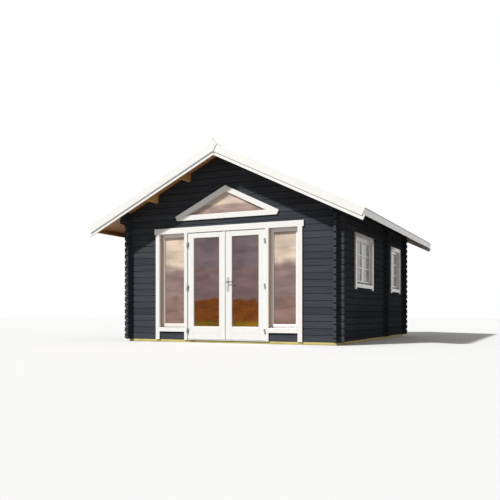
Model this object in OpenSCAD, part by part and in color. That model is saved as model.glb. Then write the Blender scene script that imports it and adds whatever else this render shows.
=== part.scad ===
// Two-room log cabin with notched corners, a felted gable roof and glazed double doors.
// Millimetres. X runs across the front, the front faces -Y, Z is up from the ground.

/* [Walls] */
// Width across the outer faces of the side walls
wall_w = 4060; // [3800:10:4400]
// Depth across the outer faces of the front and rear walls
wall_d = 4880; // [4700:10:5400]
// Height of one log course
log_h = 114; // [110:1:120]
// Thickness of a log
log_t = 44; // [36:1:60]
// Length of a log end past the wall that it crosses
log_end = 105; // [80:5:140]
// Bevel along the long edges of a log
log_bevel = 5; // [3:0.5:8]
// Bevel on the corners of a log end
end_bevel = 24; // [8:1:28]
// Play on each face of a crossing notch
notch_gap = 0.25; // [0.1:0.05:0.5]
// Full courses of a side wall over its half log
side_courses = 19; // [18:1:21]
// Outer height of the sloped log under the eaves
top_log_h = 97; // [70:1:110]
// Length of an eave log past the front or rear wall
eave_log_end = 290; // [200:5:320]

/* [Floor] */
// Height of the bearers on the ground
beam_h = 45; // [40:1:70]
// Width of the bearers
beam_w = 70; // [60:1:100]
// Thickness of the floor boards
floor_t = 19; // [16:1:28]
// Play round the floor
floor_gap = 2; // [1:0.5:4]
// Joists under the front room
front_joists = 4; // [3:1:6]
// Joists under the rear room
rear_joists = 2; // [1:1:4]

/* [Partition] */
// Front wall face to the face of the partition
partition_at = 3070; // [2900:10:3200]
// Width of the way through the partition
partition_door_w = 800; // [700:10:900]
// Middle of that way, from the middle of the cabin
partition_door_x = -900; // [-1100:10:900]

/* [Roof] */
// Slope of the roof in degrees
roof_pitch = 26; // [22:0.5:30]
// Front wall face to the face of the front boards
front_over = 478; // [420:1:560]
// Rear wall face to the face of the rear boards
rear_over = 390; // [380:1:480]
// Side wall face to the lower end of the roof boards, level
eave_over = 548; // [450:1:650]
// Thickness of the roof boards
deck_t = 16; // [14:1:22]
// Slack under the roof boards, at their lower ends and round the eave boards
deck_gap = 0.2; // [0.1:0.1:0.5]
// Thickness of the felt
felt_t = 4; // [3:0.5:6]
// Width of the felt strip down each side of the ridge
ridge_strip = 125; // [90:5:180]
// Width of a purlin
purlin_w = 58; // [44:1:80]
// Height of a purlin on the side near the ridge
purlin_h = 146; // [120:1:170]
// Middle of the cabin to the upper purlin
purlin_upper = 700; // [600:5:800]
// Middle of the cabin to the lower purlin
purlin_lower = 1385; // [1300:5:1450]

/* [Roof edge boards] */
// Thickness of an edge board
board_t = 20; // [16:1:26]
// Width of the upper board of a gable
upper_board_w = 128; // [100:1:150]
// Height of its edge over the felt
upper_board_lip = 4; // [1:1:20]
// Part of the lower board that shows below it
lower_board_show = 55; // [40:1:80]
// Slack between the two lower boards at the ridge
lower_board_gap = 1; // [0.5:0.5:3]
// Length of the lower board past the upper one
lower_board_run = 40; // [25:1:50]
// Width of the board along the eaves
fascia_w = 95; // [80:1:115]
// Half width of the kite at the ridge
kite_half_w = 78; // [60:1:100]
// Height of the kite over its side corners
kite_up = 119; // [90:1:140]
// Depth of the kite under its side corners
kite_down = 128; // [100:1:150]
// How far the kite stands in front of the boards
kite_proud = 10; // [4:1:20]

/* [Front joinery] */
// Courses up to the head of the doors
door_courses = 17; // [16:1:18]
// Courses under the side lights
base_courses = 2; // [1:1:3]
// Width of a side light, between its jamb and the door post
sidelight_w = 518; // [480:2:560]
// Width of the jambs at its sides
jamb_w = 45; // [35:1:55]
// Depth of a frame from the wall face
frame_d = 108; // [90:1:130]
// Thickness of the casing boards
casing_t = 26; // [18:1:34]
// Width of the casing boards
casing_w = 82; // [70:1:95]
// Overlap of a casing on its frame
casing_lap = 40; // [32:1:44]
// Height of the board over the doors
head_casing_h = 100; // [80:1:110]
// Length of that board past the side casings
head_casing_ear = 26; // [10:1:40]
// Thickness of the frame head
frame_head_t = 28; // [22:1:40]
// Width between the door posts
door_gap_w = 1520; // [1440:10:1600]
// Face width of a door post
post_w = 62; // [50:1:75]
// Width of the stop behind the leaves
stop_w = 20; // [15:1:30]
// Height of the threshold
threshold_t = 13; // [10:1:20]
// Height of the boards under the side lights
sill_board_h = 78; // [60:1:84]

/* [Sashes] */
// Width of a sash member
sash_w = 55; // [45:1:65]
// Thickness of a sash
sash_t = 40; // [34:1:46]
// Wall face to the face of a sash
sash_in = 62; // [50:1:66]
// Thickness of the glass
glass_t = 8; // [6:1:12]

/* [Doors] */
// Thickness of a leaf
leaf_t = 44; // [40:1:50]
// Front of the posts to the face of a leaf
leaf_in = 16; // [8:1:20]
// Play round a leaf
leaf_gap = 6; // [5:0.5:8]
// Play between the two leaves
meeting_gap = 8; // [6:0.5:12]
// Width of the upright members
stile_w = 118; // [100:1:130]
// Height of the top member
top_rail_h = 91; // [80:1:120]
// Height of the bottom member
bottom_rail_h = 219; // [180:1:240]
// Width of the strip over the meeting gap's edge
strip_w = 30; // [20:1:36]
// Thickness of that strip
strip_t = 8; // [5:1:12]

/* [Hinges] */
// Radius of a hinge barrel
barrel_r = 8; // [7:0.5:9]
// Height of each half of a hinge
barrel_h = 42; // [36:1:50]
// Slack between the halves
barrel_gap = 1; // [0.5:0.5:2]
// Height of the knob on a barrel
knob_h = 5; // [3:0.5:8]
// Radius of the knob
knob_r = 5.5; // [4:0.5:6.5]
// Radius of a hinge pin
pin_r = 4; // [3:0.5:5]
// Play round a hinge pin
pin_play = 0.05; // [0.02:0.01:0.1]
// Wall foot to the lowest hinge
hinge_low = 165; // [140:5:220]
// Wall foot to the highest hinge
hinge_high = 1700; // [1600:5:1760]

/* [Handle] */
// Middle of the meeting gap to the handle
handle_x = 46; // [40:1:70]
// Wall foot to the lever
handle_z = 1017; // [950:1:1060]
// Width of a plate
plate_w = 44; // [38:1:50]
// Height of a plate
plate_h = 244; // [200:1:260]
// Thickness of a plate
plate_t = 8; // [5:1:10]
// Radius of a plate's corners
plate_r = 9; // [4:1:16]
// Height of a plate over the lever
plate_top = 86; // [60:1:110]
// Reach of the lever
lever_len = 110; // [95:1:130]
// Radius of the lever's grip
lever_r = 8; // [7:0.5:10]
// Radius of the lever's neck
neck_r = 9.5; // [9:0.5:11]
// Play round the neck in its plate
neck_play = 0.3; // [0.2:0.05:0.5]
// Plate to the middle of the grip
lever_out = 40; // [32:1:50]
// Radius of the spindle
spindle_r = 5; // [4:0.5:6]

/* [Gable window] */
// Courses under the window
gable_courses = 19; // [19:1:20]
// Height of the glass
gable_glass_h = 379; // [300:1:400]
// Foot of the opening to the glass
gable_sill_h = 57; // [45:1:65]
// Width of the sloped frame members
gable_frame_w = 45; // [35:1:55]
// Depth of the frame
gable_frame_d = 70; // [55:1:90]
// Wall face to the glass
gable_glass_in = 20; // [12:1:30]
// Width of the casing
gable_casing_w = 90; // [75:1:100]
// Half length of the casing's lower edge
gable_foot = 972; // [940:1:990]

/* [Side windows] */
// Courses under the windows, over the half log
foot_courses = 8; // [7:1:9]
// Courses up to their head, over the half log
head_courses = 16; // [15:1:17]
// Middle of the front room to the middle of the double window
window_1_shift = 20; // [0:5:100]
// Width of the double window's opening
window_1_w = 1110; // [1000:5:1200]
// Middle of the rear room to the middle of the single window
window_2_shift = 105; // [60:5:140]
// Width of the single window's opening
window_2_w = 768; // [650:5:800]
// Width of the frame's sides
window_frame_t = 30; // [24:1:36]
// Height of the frame's sill
window_sill_h = 36; // [30:1:45]
// Height of the frame's head
window_head_h = 72; // [60:1:80]
// Lap of the casing on the frame
window_lap = 26; // [20:1:28]
// Wall face to the face of a sash of these windows
window_sash_in = 20; // [12:1:40]
// Height of the casing's bottom board
window_apron_h = 65; // [55:1:75]
// Length of the side casings below that board
window_leg = 30; // [15:1:40]
// Slack between the two sashes of the double window
window_meeting = 2; // [1:0.5:4]

/* [Hidden] */
$fn = 48;
tan_p = tan(roof_pitch);
cos_p = cos(roof_pitch);
sin_p = sin(roof_pitch);
half_w = wall_w / 2;
y_front = (front_over - wall_d - rear_over) / 2;
y_rear = y_front + wall_d;
y_part = y_front + partition_at;
eave_z = beam_h + (side_courses + 0.5) * log_h + top_log_h;
ridge_z = eave_z + half_w * tan_p;
peak_course = ceil((ridge_z - beam_h) / log_h);
deck_len = (half_w + eave_over) / cos_p;
deck_front = y_front - front_over + 2 * board_t;
deck_rear = y_rear + rear_over - 2 * board_t;
roof_top = deck_t + felt_t;
upper_top = roof_top + upper_board_lip;
upper_low = upper_top - upper_board_w;
far = 4 * wall_w;

head_z = beam_h + door_courses * log_h;
frame_head_z = head_z - frame_head_t;
post_x = door_gap_w / 2;
post_out = post_x + post_w;
jamb_x = post_out + sidelight_w + jamb_w;
side_casing_x = jamb_x - casing_lap;
post_y = y_front - casing_t;
leaf_y = post_y + leaf_in;
leaf_back = leaf_y + leaf_t;
stop_y = leaf_back + leaf_gap;
frame_y = y_front + frame_d;
leaf_in_x = meeting_gap / 2;
leaf_out_x = post_x - leaf_gap;
leaf_z0 = beam_h + threshold_t + leaf_gap;
leaf_z1 = frame_head_z - leaf_gap;
hinge_x = post_x - leaf_gap / 2;
hinge_y = post_y - barrel_r - barrel_gap;
hinge_mid = (hinge_low + hinge_high) / 2;
hinge_zs = [beam_h + hinge_low, beam_h + hinge_mid, beam_h + hinge_high];
lever_z = beam_h + handle_z;

gable_z0 = beam_h + gable_courses * log_h;
gable_glass_z = gable_z0 + gable_sill_h;
gable_apex = gable_glass_z + gable_glass_h;
gable_gap_apex = gable_apex + gable_frame_w / cos_p;
gable_split = floor((gable_gap_apex - beam_h) / log_h);

window_z0 = beam_h + (foot_courses + 0.5) * log_h;
window_z1 = beam_h + (head_courses + 0.5) * log_h;
window_1_y = (y_front + y_part) / 2 + window_1_shift;
window_2_y = (y_part + y_rear) / 2 + window_2_shift;
windows = [[window_1_y, window_1_w, 2], [window_2_y, window_2_w, 1]];

// Height of the underside of the roof at x
function roof_z(x) = ridge_z - abs(x) * tan_p;

// Point of the right slope, s down from the ridge and p over the underside of the roof boards
function slope(s, p) = [s * cos_p + p * sin_p, ridge_z - s * sin_p + p * cos_p];

// Height over the ridge line of a plane p over the underside, at x
function lift(x, p) = ridge_z + p / cos_p - x * tan_p;

// Joints of full courses from a to b
function joints(a, b) = [for (k = [a : 1 : b]) beam_h + k * log_h];

// Joints of a side wall, which starts with a half log
function side_joints(a, b) = a == 0 ? concat([beam_h], joints(0.5, b)) : joints(a, b);

// Carries a flat (y, z) shape along X
module along_x(x0, x1) {
    translate([x0, 0, 0]) rotate([90, 0, 90]) linear_extrude(x1 - x0) children();
}

// Carries a flat (x, z) shape along Y
module along_y(y0, y1) {
    translate([0, y1, 0]) rotate([90, 0, 0]) linear_extrude(y1 - y0) children();
}

// Carries a flat (x, y) shape along Z
module along_z(z0, z1) {
    translate([0, 0, z0]) linear_extrude(z1 - z0) children();
}

// Rectangle from corner to corner
module span(a, b) {
    translate(a) square(b - a);
}

// Box from corner to corner
module block(a, b) {
    translate(a) cube(b - a);
}

// Keeps a shape and adds its mirror image
module both_sides() {
    children();
    mirror([1, 0, 0]) children();
}

// Section through a stack of logs, bevelled at each joint
module log_section(j) {
    face = concat([[log_bevel, j[0]]], [for (i = [0 : len(j) - 2]) each
        [[0, j[i] + log_bevel], [0, j[i + 1] - log_bevel], [log_bevel, j[i + 1]]]]);
    back = [for (i = [len(face) - 1 : -1 : 0]) [log_t - face[i][0], face[i][1]]];
    polygon(concat(face, back));
}

// Face of a stack of logs from a to b, with bevelled ends
module log_face(a, b, j) {
    tip = concat([[b - end_bevel, j[0]]], [for (i = [0 : len(j) - 2]) each
        [[b, j[i] + end_bevel], [b, j[i + 1] - end_bevel], [b - end_bevel, j[i + 1]]]]);
    tail = [for (i = [len(tip) - 1 : -1 : 0]) [a + b - tip[i][0], tip[i][1]]];
    polygon(concat(tip, tail));
}

// One notch of a crossing wall, its middle at course k
module notch(u, k) {
    span([u - notch_gap, beam_h + (k - 0.25) * log_h - notch_gap],
        [u + log_t + notch_gap, beam_h + (k + 0.25) * log_h + notch_gap]);
}

// Space under the roof
module under_roof() {
    polygon([[0, ridge_z], [-far, roof_z(far)], [-far, -far], [far, -far], [far, roof_z(far)]]);
}

// Wall along X with its face at y0, from course a to course b; children are cut out of its face
module cross_wall(y0, a, b) {
    j = joints(a, b);
    intersection() {
        along_x(-far, far) translate([y0, 0]) log_section(j);
        along_y(y0, y0 + log_t) difference() {
            intersection() {
                log_face(-half_w - log_end, half_w + log_end, j);
                under_roof();
            }
            for (k = [a : b]) {
                notch(-half_w, k);
                notch(half_w - log_t, k);
            }
            if (b > side_courses + 1) purlin_slots();
            children();
        }
    }
}

// Wall along Y with its face at x0, from joint a to joint b; children are cut out of its face
module long_wall(x0, a, b) {
    j = side_joints(a, b);
    intersection() {
        along_y(-far, far) translate([x0, 0]) log_section(j);
        along_x(x0, x0 + log_t) difference() {
            log_face(y_front - log_end, y_rear + log_end, j);
            wall_crossings(a, b);
            children();
        }
    }
}

// Notches of a side wall for the front wall, the partition and the rear wall
module wall_crossings(a, b) {
    for (k = [floor(a) : floor(b)], y = [y_front, y_part, y_rear - log_t]) notch(y, k + 0.5);
}

// Section of one purlin whose near side is at x
module purlin_section(x, play = 0) {
    low = roof_z(x) - purlin_h;
    polygon([[x - play, low - play], [x + purlin_w + play, low - play],
        [x + purlin_w + play, roof_z(x + purlin_w + play)], [x - play, roof_z(x - play)]]);
}

// Section of the purlin under the ridge
module ridge_section(play = 0) {
    x = purlin_w / 2 + play;
    polygon([[-x, ridge_z - purlin_h - play], [x, ridge_z - purlin_h - play],
        [x, roof_z(x)], [0, ridge_z], [-x, roof_z(x)]]);
}

// Purlins in section
module purlin_sections(play = 0) {
    both_sides() {
        purlin_section(purlin_upper, play);
        purlin_section(purlin_lower, play);
    }
    ridge_section(play);
}

// Slots for the purlins in a gable, open to the roof
module purlin_slots() {
    for (x = [-purlin_upper - purlin_w, purlin_upper, -purlin_lower - purlin_w, purlin_lower]) {
        near = min(abs(x), abs(x + purlin_w));
        span([x - notch_gap, roof_z(near) - purlin_h - notch_gap],
            [x + purlin_w + notch_gap, ridge_z]);
    }
    span([-purlin_w / 2 - notch_gap, ridge_z - purlin_h - notch_gap],
        [purlin_w / 2 + notch_gap, ridge_z + log_h]);
}

// Strip of the right slope from the ridge to s, between p0 and p1 over the underside
module slope_strip(s, p0, p1) {
    polygon([[0, lift(0, p0)], slope(s, p0), slope(s, p1), [0, lift(0, p1)]]);
}

// Section of the right slope between s0 and s1 down from the ridge and p0 and p1 over the underside
module slope_patch(s0, s1, p0, p1) {
    polygon([slope(s0, p0), slope(s1, p0), slope(s1, p1), slope(s0, p1)]);
}

// Triangle with its foot at z and its point at top, sloped as the roof is
module gable_triangle(z, top) {
    x = (top - z) / tan_p;
    polygon([[-x, z], [x, z], [0, top]]);
}

// Opening of the gable window in the logs
module gable_gap() {
    gable_triangle(gable_z0, gable_gap_apex);
}

// Frame of four members round a hole, in a flat (u, v) view
module ring(a, b, side, low, high) {
    difference() {
        span(a, b);
        span([a[0] + side, a[1] + low], [b[0] - side, b[1] - high]);
    }
}

// Rectangle from corner to corner with round corners
module rounded(a, b, r) {
    span(a + [r, 0], b - [r, 0]);
    span(a + [0, r], b - [0, r]);
    for (u = [a[0] + r, b[0] - r], v = [a[1] + r, b[1] - r]) translate([u, v]) circle(r);
}

// Kite at the point of a gable, level with the upper boards
module kite() {
    z = lift(kite_half_w, upper_top);
    polygon([[0, z - kite_down], [kite_half_w, z], [0, z + kite_up], [-kite_half_w, z]]);
}

module foundation_side_beams() {
    color("khaki") both_sides()
        block([half_w - beam_w, y_front, 0], [half_w, y_rear, beam_h]);
}

module foundation_cross_beams() {
    x = half_w - beam_w;
    back = y_rear - beam_w;
    mid = y_part + (log_t - beam_w) / 2;
    step_f = (mid - y_front) / (front_joists + 1);
    step_r = (back - mid) / (rear_joists + 1);
    ys = concat([for (i = [0 : front_joists]) y_front + i * step_f],
        [for (i = [0 : rear_joists + 1]) mid + i * step_r]);
    color("khaki") for (y = ys) block([-x, y, 0], [x, y + beam_w, beam_h]);
}

module floor_boards() {
    x = half_w - log_t - floor_gap;
    px = partition_door_w / 2 - floor_gap;
    back = y_part + log_t;
    color("burlywood") {
        along_z(beam_h, beam_h + floor_t) {
            difference() {
                span([-x, y_front + log_t + floor_gap], [x, y_part - floor_gap]);
                span([-post_out - floor_gap, y_front], [post_out + floor_gap, frame_y + floor_gap]);
            }
            span([partition_door_x - px, y_part - beam_w], [partition_door_x + px, back]);
        }
        block([-x, back + floor_gap, beam_h], [x, y_rear - log_t - floor_gap, beam_h + floor_t]);
    }
}

module front_base_logs() {
    color("slategray") cross_wall(y_front, 0, base_courses) span([-post_out, 0], [post_out, far]);
}

module front_left_logs() {
    color("slategray") cross_wall(y_front, base_courses, door_courses) span([-jamb_x, 0], [far, far]);
}

module front_right_logs() {
    color("slategray") cross_wall(y_front, base_courses, door_courses) span([-far, 0], [jamb_x, far]);
}

module front_lintel_logs() {
    color("slategray") cross_wall(y_front, door_courses, gable_courses);
}

module front_gable_side_logs() {
    color("slategray") cross_wall(y_front, gable_courses, gable_split) gable_gap();
}

module front_gable_peak_logs() {
    color("slategray") cross_wall(y_front, gable_split, peak_course) gable_gap();
}

module rear_wall_logs() {
    color("slategray") cross_wall(y_rear - log_t, 0, side_courses);
}

module rear_gable_logs() {
    color("slategray") cross_wall(y_rear - log_t, side_courses, peak_course);
}

module left_wall_logs() {
    color("dimgray") long_wall(-half_w, 0, side_courses - 0.5);
}

module right_lower_logs() {
    color("dimgray") long_wall(half_w - log_t, 0, foot_courses + 0.5);
}

module right_window_logs() {
    color("dimgray") long_wall(half_w - log_t, foot_courses + 0.5, head_courses + 0.5)
        for (w = windows) span([w[0] - w[1] / 2, 0], [w[0] + w[1] / 2, far]);
}

module right_upper_logs() {
    color("dimgray") long_wall(half_w - log_t, head_courses + 0.5, side_courses - 0.5);
}

module eave_logs() {
    j = concat(joints(side_courses - 0.5, side_courses + 0.5), [ridge_z]);
    color("dimgray") both_sides() intersection() {
        along_y(-far, far) intersection() {
            translate([half_w - log_t, 0]) log_section(j);
            under_roof();
        }
        along_x(half_w - log_t, half_w) difference() {
            log_face(y_front - eave_log_end, y_rear + eave_log_end, j);
            wall_crossings(side_courses - 0.5, side_courses + 1.5);
        }
    }
}

module partition_side_logs() {
    px = partition_door_w / 2;
    color("slategray") cross_wall(y_part, 0, door_courses)
        span([partition_door_x - px, 0], [partition_door_x + px, far]);
}

module partition_upper_logs() {
    color("slategray") cross_wall(y_part, door_courses, peak_course);
}

module roof_purlins() {
    color("peru") along_y(deck_front, deck_rear) purlin_sections();
}

module right_roof_boards() {
    color("sandybrown") along_y(deck_front, deck_rear)
        slope_strip(deck_len - deck_gap, deck_gap, deck_t);
}

module left_roof_boards() {
    mirror([1, 0, 0]) right_roof_boards();
}

module right_roof_felt() {
    color("darkslategray") along_y(deck_front - board_t, deck_rear + board_t)
        slope_strip(deck_len + board_t, deck_t, roof_top);
}

module left_roof_felt() {
    mirror([1, 0, 0]) right_roof_felt();
}

module ridge_felt() {
    low = slope(ridge_strip, roof_top);
    high = slope(ridge_strip, roof_top + felt_t);
    color("darkslategray") along_y(deck_front - board_t, deck_rear + board_t) polygon([
        [0, lift(0, roof_top)], low, high, [0, lift(0, roof_top + felt_t)],
        [-high[0], high[1]], [-low[0], low[1]]]);
}

module eave_fascias() {
    color("gainsboro") along_y(deck_front - board_t, deck_rear + board_t) both_sides()
        slope_patch(deck_len, deck_len + board_t, deck_t - fascia_w, deck_t);
}

module upper_bargeboards() {
    color("white") for (y = [deck_front - 2 * board_t, deck_rear + board_t])
        along_y(y, y + board_t) both_sides() difference() {
            slope_strip(deck_len + board_t, upper_low, upper_top);
            kite();
        }
}

module lower_bargeboards() {
    tip = deck_len + board_t + lower_board_run;
    color("white") for (y = [deck_front - board_t, deck_rear])
        along_y(y, y + board_t) both_sides() difference() {
            intersection() {
                slope_strip(tip, upper_low - lower_board_show, deck_t);
                span([lower_board_gap / 2, 0], [far, far]);
            }
            slope_patch(deck_len - deck_gap, tip + 1, deck_t - fascia_w - deck_gap, deck_t + 1);
        }
}

module gable_kites() {
    t = board_t + kite_proud;
    color("white") {
        along_y(deck_front - board_t - t, deck_front - board_t) kite();
        along_y(deck_rear + board_t, deck_rear + board_t + t) kite();
    }
}

module front_head_casing() {
    x = side_casing_x + casing_w + head_casing_ear;
    color("white") block([-x, post_y, frame_head_z], [x, y_front, frame_head_z + head_casing_h]);
}

module front_side_casings() {
    color("white") both_sides()
        block([side_casing_x, post_y, beam_h], [side_casing_x + casing_w, y_front, frame_head_z]);
}

module front_frame_posts() {
    color("ivory") both_sides() {
        along_z(beam_h, frame_head_z) polygon([[post_x, post_y], [post_out, post_y],
            [post_out, frame_y], [post_x - stop_w, frame_y], [post_x - stop_w, stop_y],
            [post_x, stop_y]]);
        block([jamb_x - jamb_w, y_front, beam_h + base_courses * log_h],
            [jamb_x, frame_y, frame_head_z]);
    }
}

module front_frame_head() {
    x = post_x - stop_w;
    color("ivory") {
        block([-jamb_x, y_front, frame_head_z], [jamb_x, frame_y, head_z]);
        block([-x, stop_y, frame_head_z - stop_w], [x, frame_y, head_z]);
    }
}

module door_threshold() {
    x = post_x - stop_w;
    color("silver") along_z(beam_h, beam_h + threshold_t) {
        span([-post_x, post_y], [post_x, stop_y]);
        span([-x, post_y], [x, frame_y]);
    }
}

module sidelight_sills() {
    top = beam_h + base_courses * log_h - log_bevel;
    color("white") both_sides()
        block([post_out, post_y, top - sill_board_h], [side_casing_x, y_front, top]);
}

module sidelight_sashes() {
    y = y_front + sash_in;
    color("ivory") both_sides() along_y(y, y + sash_t)
        ring([post_out, beam_h + base_courses * log_h], [jamb_x - jamb_w, frame_head_z],
            sash_w, sash_w, sash_w);
}

module sidelight_glass() {
    y = y_front + sash_in + (sash_t - glass_t) / 2;
    color("lightblue", 0.5) both_sides() along_y(y, y + glass_t)
        span([post_out + sash_w, beam_h + base_courses * log_h + sash_w],
            [jamb_x - jamb_w - sash_w, frame_head_z - sash_w]);
}

module gable_window_casing() {
    low = gable_glass_z - gable_casing_w;
    top = gable_apex + gable_casing_w / cos_p;
    d = cos_p * (top - gable_foot * tan_p - low);
    tip = [gable_foot + d * sin_p, low + d * cos_p];
    color("white") along_y(post_y, y_front) difference() {
        polygon([[-gable_foot, low], [gable_foot, low], tip, [0, top], [-tip[0], tip[1]]]);
        gable_triangle(gable_glass_z, gable_apex);
    }
}

module gable_window_frame() {
    color("ivory") along_y(y_front, y_front + gable_frame_d) difference() {
        gable_gap();
        gable_triangle(gable_glass_z, gable_apex);
    }
}

module gable_window_glass() {
    y = y_front + gable_glass_in;
    color("lightblue", 0.5) along_y(y, y + glass_t) gable_triangle(gable_glass_z, gable_apex);
}

module side_window_casings() {
    color("white") for (w = windows) {
        in = w[1] / 2 - window_lap;
        out = in + casing_w;
        low = window_z0 + window_lap - window_apron_h;
        high = window_z1 - window_head_h + casing_w;
        along_x(half_w, half_w + casing_t) translate([w[0], 0]) difference() {
            span([-out, low - window_leg], [out, high]);
            span([-in, low - log_h], [in, low]);
            span([-in, window_z0 + window_lap], [in, high - casing_w]);
        }
    }
}

module side_window_frames() {
    color("ivory") for (w = windows) along_x(half_w - frame_d, half_w)
        ring([w[0] - w[1] / 2, window_z0], [w[0] + w[1] / 2, window_z1],
            window_frame_t, window_sill_h, window_head_h);
}

// Places a flat (y, z) shape of children in each sash of the side windows
module each_sash(x0, x1, rim) {
    for (w = windows) {
        clear = w[1] - 2 * window_frame_t;
        sash = (clear - (w[2] - 1) * window_meeting) / w[2];
        for (i = [0 : w[2] - 1]) {
            y = w[0] - clear / 2 + i * (sash + window_meeting);
            low = [y, window_z0 + window_sill_h];
            high = [y + sash, window_z1 - window_head_h];
            along_x(x0, x1) if (rim) ring(low, high, sash_w, sash_w, sash_w);
            else span(low + [sash_w, sash_w], high - [sash_w, sash_w]);
        }
    }
}

module side_window_sashes() {
    x = half_w - window_sash_in;
    color("ivory") each_sash(x - sash_t, x, true);
}

module side_window_glass() {
    x = half_w - window_sash_in - sash_t / 2;
    color("lightblue", 0.5) each_sash(x - glass_t / 2, x + glass_t / 2, false);
}

module frame_hinges() {
    color("silver") both_sides() for (z = hinge_zs) {
        translate([hinge_x, hinge_y, z - barrel_h - barrel_gap / 2]) {
            cylinder(r = barrel_r, h = barrel_h);
            cylinder(r = pin_r, h = 1.7 * barrel_h);
            translate([0, 0, -knob_h]) cylinder(r = knob_r, h = knob_h);
            block([0, 0, 0], [2.2 * barrel_r, post_y - hinge_y, barrel_h]);
        }
    }
}

// Hinge halves of the right leaf
module leaf_hinges() {
    x = leaf_out_x - hinge_x;
    for (z = hinge_zs) translate([hinge_x, hinge_y, z + barrel_gap / 2]) difference() {
        union() {
            cylinder(r = barrel_r, h = barrel_h);
            cylinder(r = knob_r, h = barrel_h + knob_h);
            block([x - 1.8 * barrel_r, 0, 0], [x, leaf_y - hinge_y, barrel_h]);
        }
        translate([0, 0, -barrel_gap]) cylinder(r = pin_r + pin_play, h = 0.8 * barrel_h);
    }
}

// Right leaf without its handle
module leaf() {
    along_y(leaf_y, leaf_back) ring([leaf_in_x, leaf_z0], [leaf_out_x, leaf_z1],
        stile_w, bottom_rail_h, top_rail_h);
}

// Glass of the right leaf
module leaf_glass() {
    y = (leaf_y + leaf_back - glass_t) / 2;
    along_y(y, y + glass_t) span([leaf_in_x + stile_w, leaf_z0 + bottom_rail_h],
        [leaf_out_x - stile_w, leaf_z1 - top_rail_h]);
}

// Bar along Y through the lever's axis
module lever_bar(y0, y1, r) {
    translate([handle_x, y1, lever_z]) rotate([90, 0, 0]) cylinder(r = r, h = y1 - y0);
}

module left_door_leaf() {
    color("white") mirror([1, 0, 0]) {
        leaf();
        block([leaf_in_x, leaf_y - strip_t, leaf_z0], [leaf_in_x + strip_w, leaf_y, leaf_z1]);
    }
}

module left_door_glass() {
    color("lightblue", 0.5) mirror([1, 0, 0]) leaf_glass();
}

module left_door_hinges() {
    color("silver") mirror([1, 0, 0]) leaf_hinges();
}

module right_door_leaf() {
    color("white") difference() {
        leaf();
        lever_bar(leaf_y - leaf_t, leaf_back + leaf_t, neck_r + neck_play);
    }
}

module right_door_glass() {
    color("lightblue", 0.5) leaf_glass();
}

module right_door_hinges() {
    color("silver") leaf_hinges();
}

module door_handle_plates() {
    x = plate_w / 2;
    z = lever_z + plate_top;
    color("silver") for (y = [leaf_y - plate_t, leaf_back]) difference() {
        along_y(y, y + plate_t)
            rounded([handle_x - x, z - plate_h], [handle_x + x, z], plate_r);
        lever_bar(y - plate_t, y + 2 * plate_t, neck_r + neck_play);
    }
}

module door_lever() {
    out = leaf_y - plate_t - lever_out;
    in = leaf_back + plate_t + lever_out;
    color("silver") {
        lever_bar(out, in, spindle_r);
        lever_bar(out, leaf_y, neck_r);
        lever_bar(leaf_back, in, neck_r);
        for (y = [out, in]) translate([handle_x - neck_r, y, lever_z]) {
            rotate([0, 90, 0]) cylinder(r = lever_r, h = neck_r + lever_len);
            translate([neck_r + lever_len, 0, 0]) sphere(r = lever_r);
        }
    }
}

foundation_side_beams();
foundation_cross_beams();
floor_boards();
front_base_logs();
front_left_logs();
front_right_logs();
front_lintel_logs();
front_gable_side_logs();
front_gable_peak_logs();
rear_wall_logs();
rear_gable_logs();
left_wall_logs();
right_lower_logs();
right_window_logs();
right_upper_logs();
eave_logs();
partition_side_logs();
partition_upper_logs();
roof_purlins();
left_roof_boards();
right_roof_boards();
left_roof_felt();
right_roof_felt();
ridge_felt();
eave_fascias();
upper_bargeboards();
lower_bargeboards();
gable_kites();
front_head_casing();
front_side_casings();
front_frame_posts();
front_frame_head();
door_threshold();
sidelight_sills();
sidelight_sashes();
sidelight_glass();
gable_window_casing();
gable_window_frame();
gable_window_glass();
side_window_casings();
side_window_frames();
side_window_sashes();
side_window_glass();
frame_hinges();
left_door_leaf();
left_door_glass();
left_door_hinges();
right_door_leaf();
right_door_glass();
right_door_hinges();
door_handle_plates();
door_lever();
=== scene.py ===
"""Looks of a log cabin: boards, shingles, bars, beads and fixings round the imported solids, and finishes."""

import logging
import math
from collections.abc import Callable
from dataclasses import dataclass, field
from enum import Enum
from typing import Any, Optional, Protocol, Union

import bmesh
import bpy
from mathutils import Matrix, Vector


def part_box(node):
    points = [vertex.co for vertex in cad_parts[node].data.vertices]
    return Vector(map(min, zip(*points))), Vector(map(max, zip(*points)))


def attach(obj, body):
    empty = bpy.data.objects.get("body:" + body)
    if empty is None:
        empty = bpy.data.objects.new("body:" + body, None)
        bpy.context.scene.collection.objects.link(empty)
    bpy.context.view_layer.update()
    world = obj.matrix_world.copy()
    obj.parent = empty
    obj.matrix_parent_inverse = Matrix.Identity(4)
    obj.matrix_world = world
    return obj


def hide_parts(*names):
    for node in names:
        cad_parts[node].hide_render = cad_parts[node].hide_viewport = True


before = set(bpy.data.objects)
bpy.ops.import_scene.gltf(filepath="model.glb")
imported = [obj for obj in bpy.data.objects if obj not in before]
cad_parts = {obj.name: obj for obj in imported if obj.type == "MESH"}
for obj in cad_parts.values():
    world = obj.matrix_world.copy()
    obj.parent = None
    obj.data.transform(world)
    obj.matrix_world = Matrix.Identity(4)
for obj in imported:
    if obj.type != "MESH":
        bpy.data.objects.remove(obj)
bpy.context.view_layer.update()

LOG = logging.getLogger("cabin")
ROOT_BODY = "cabin"
SEED = 7
SAME_POINT = 1e-6

Colour = tuple[float, float, float, float]
Outline = list[tuple[float, float]]
Scale = tuple[float, float, float]
Term = Union["Value", float]
Tone = Union["Value", Colour]


class Run(Enum):
    """Direction of a timber's grain."""

    X = "x"
    Y = "y"
    Z = "z"
    SLOPE = "slope"


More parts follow.
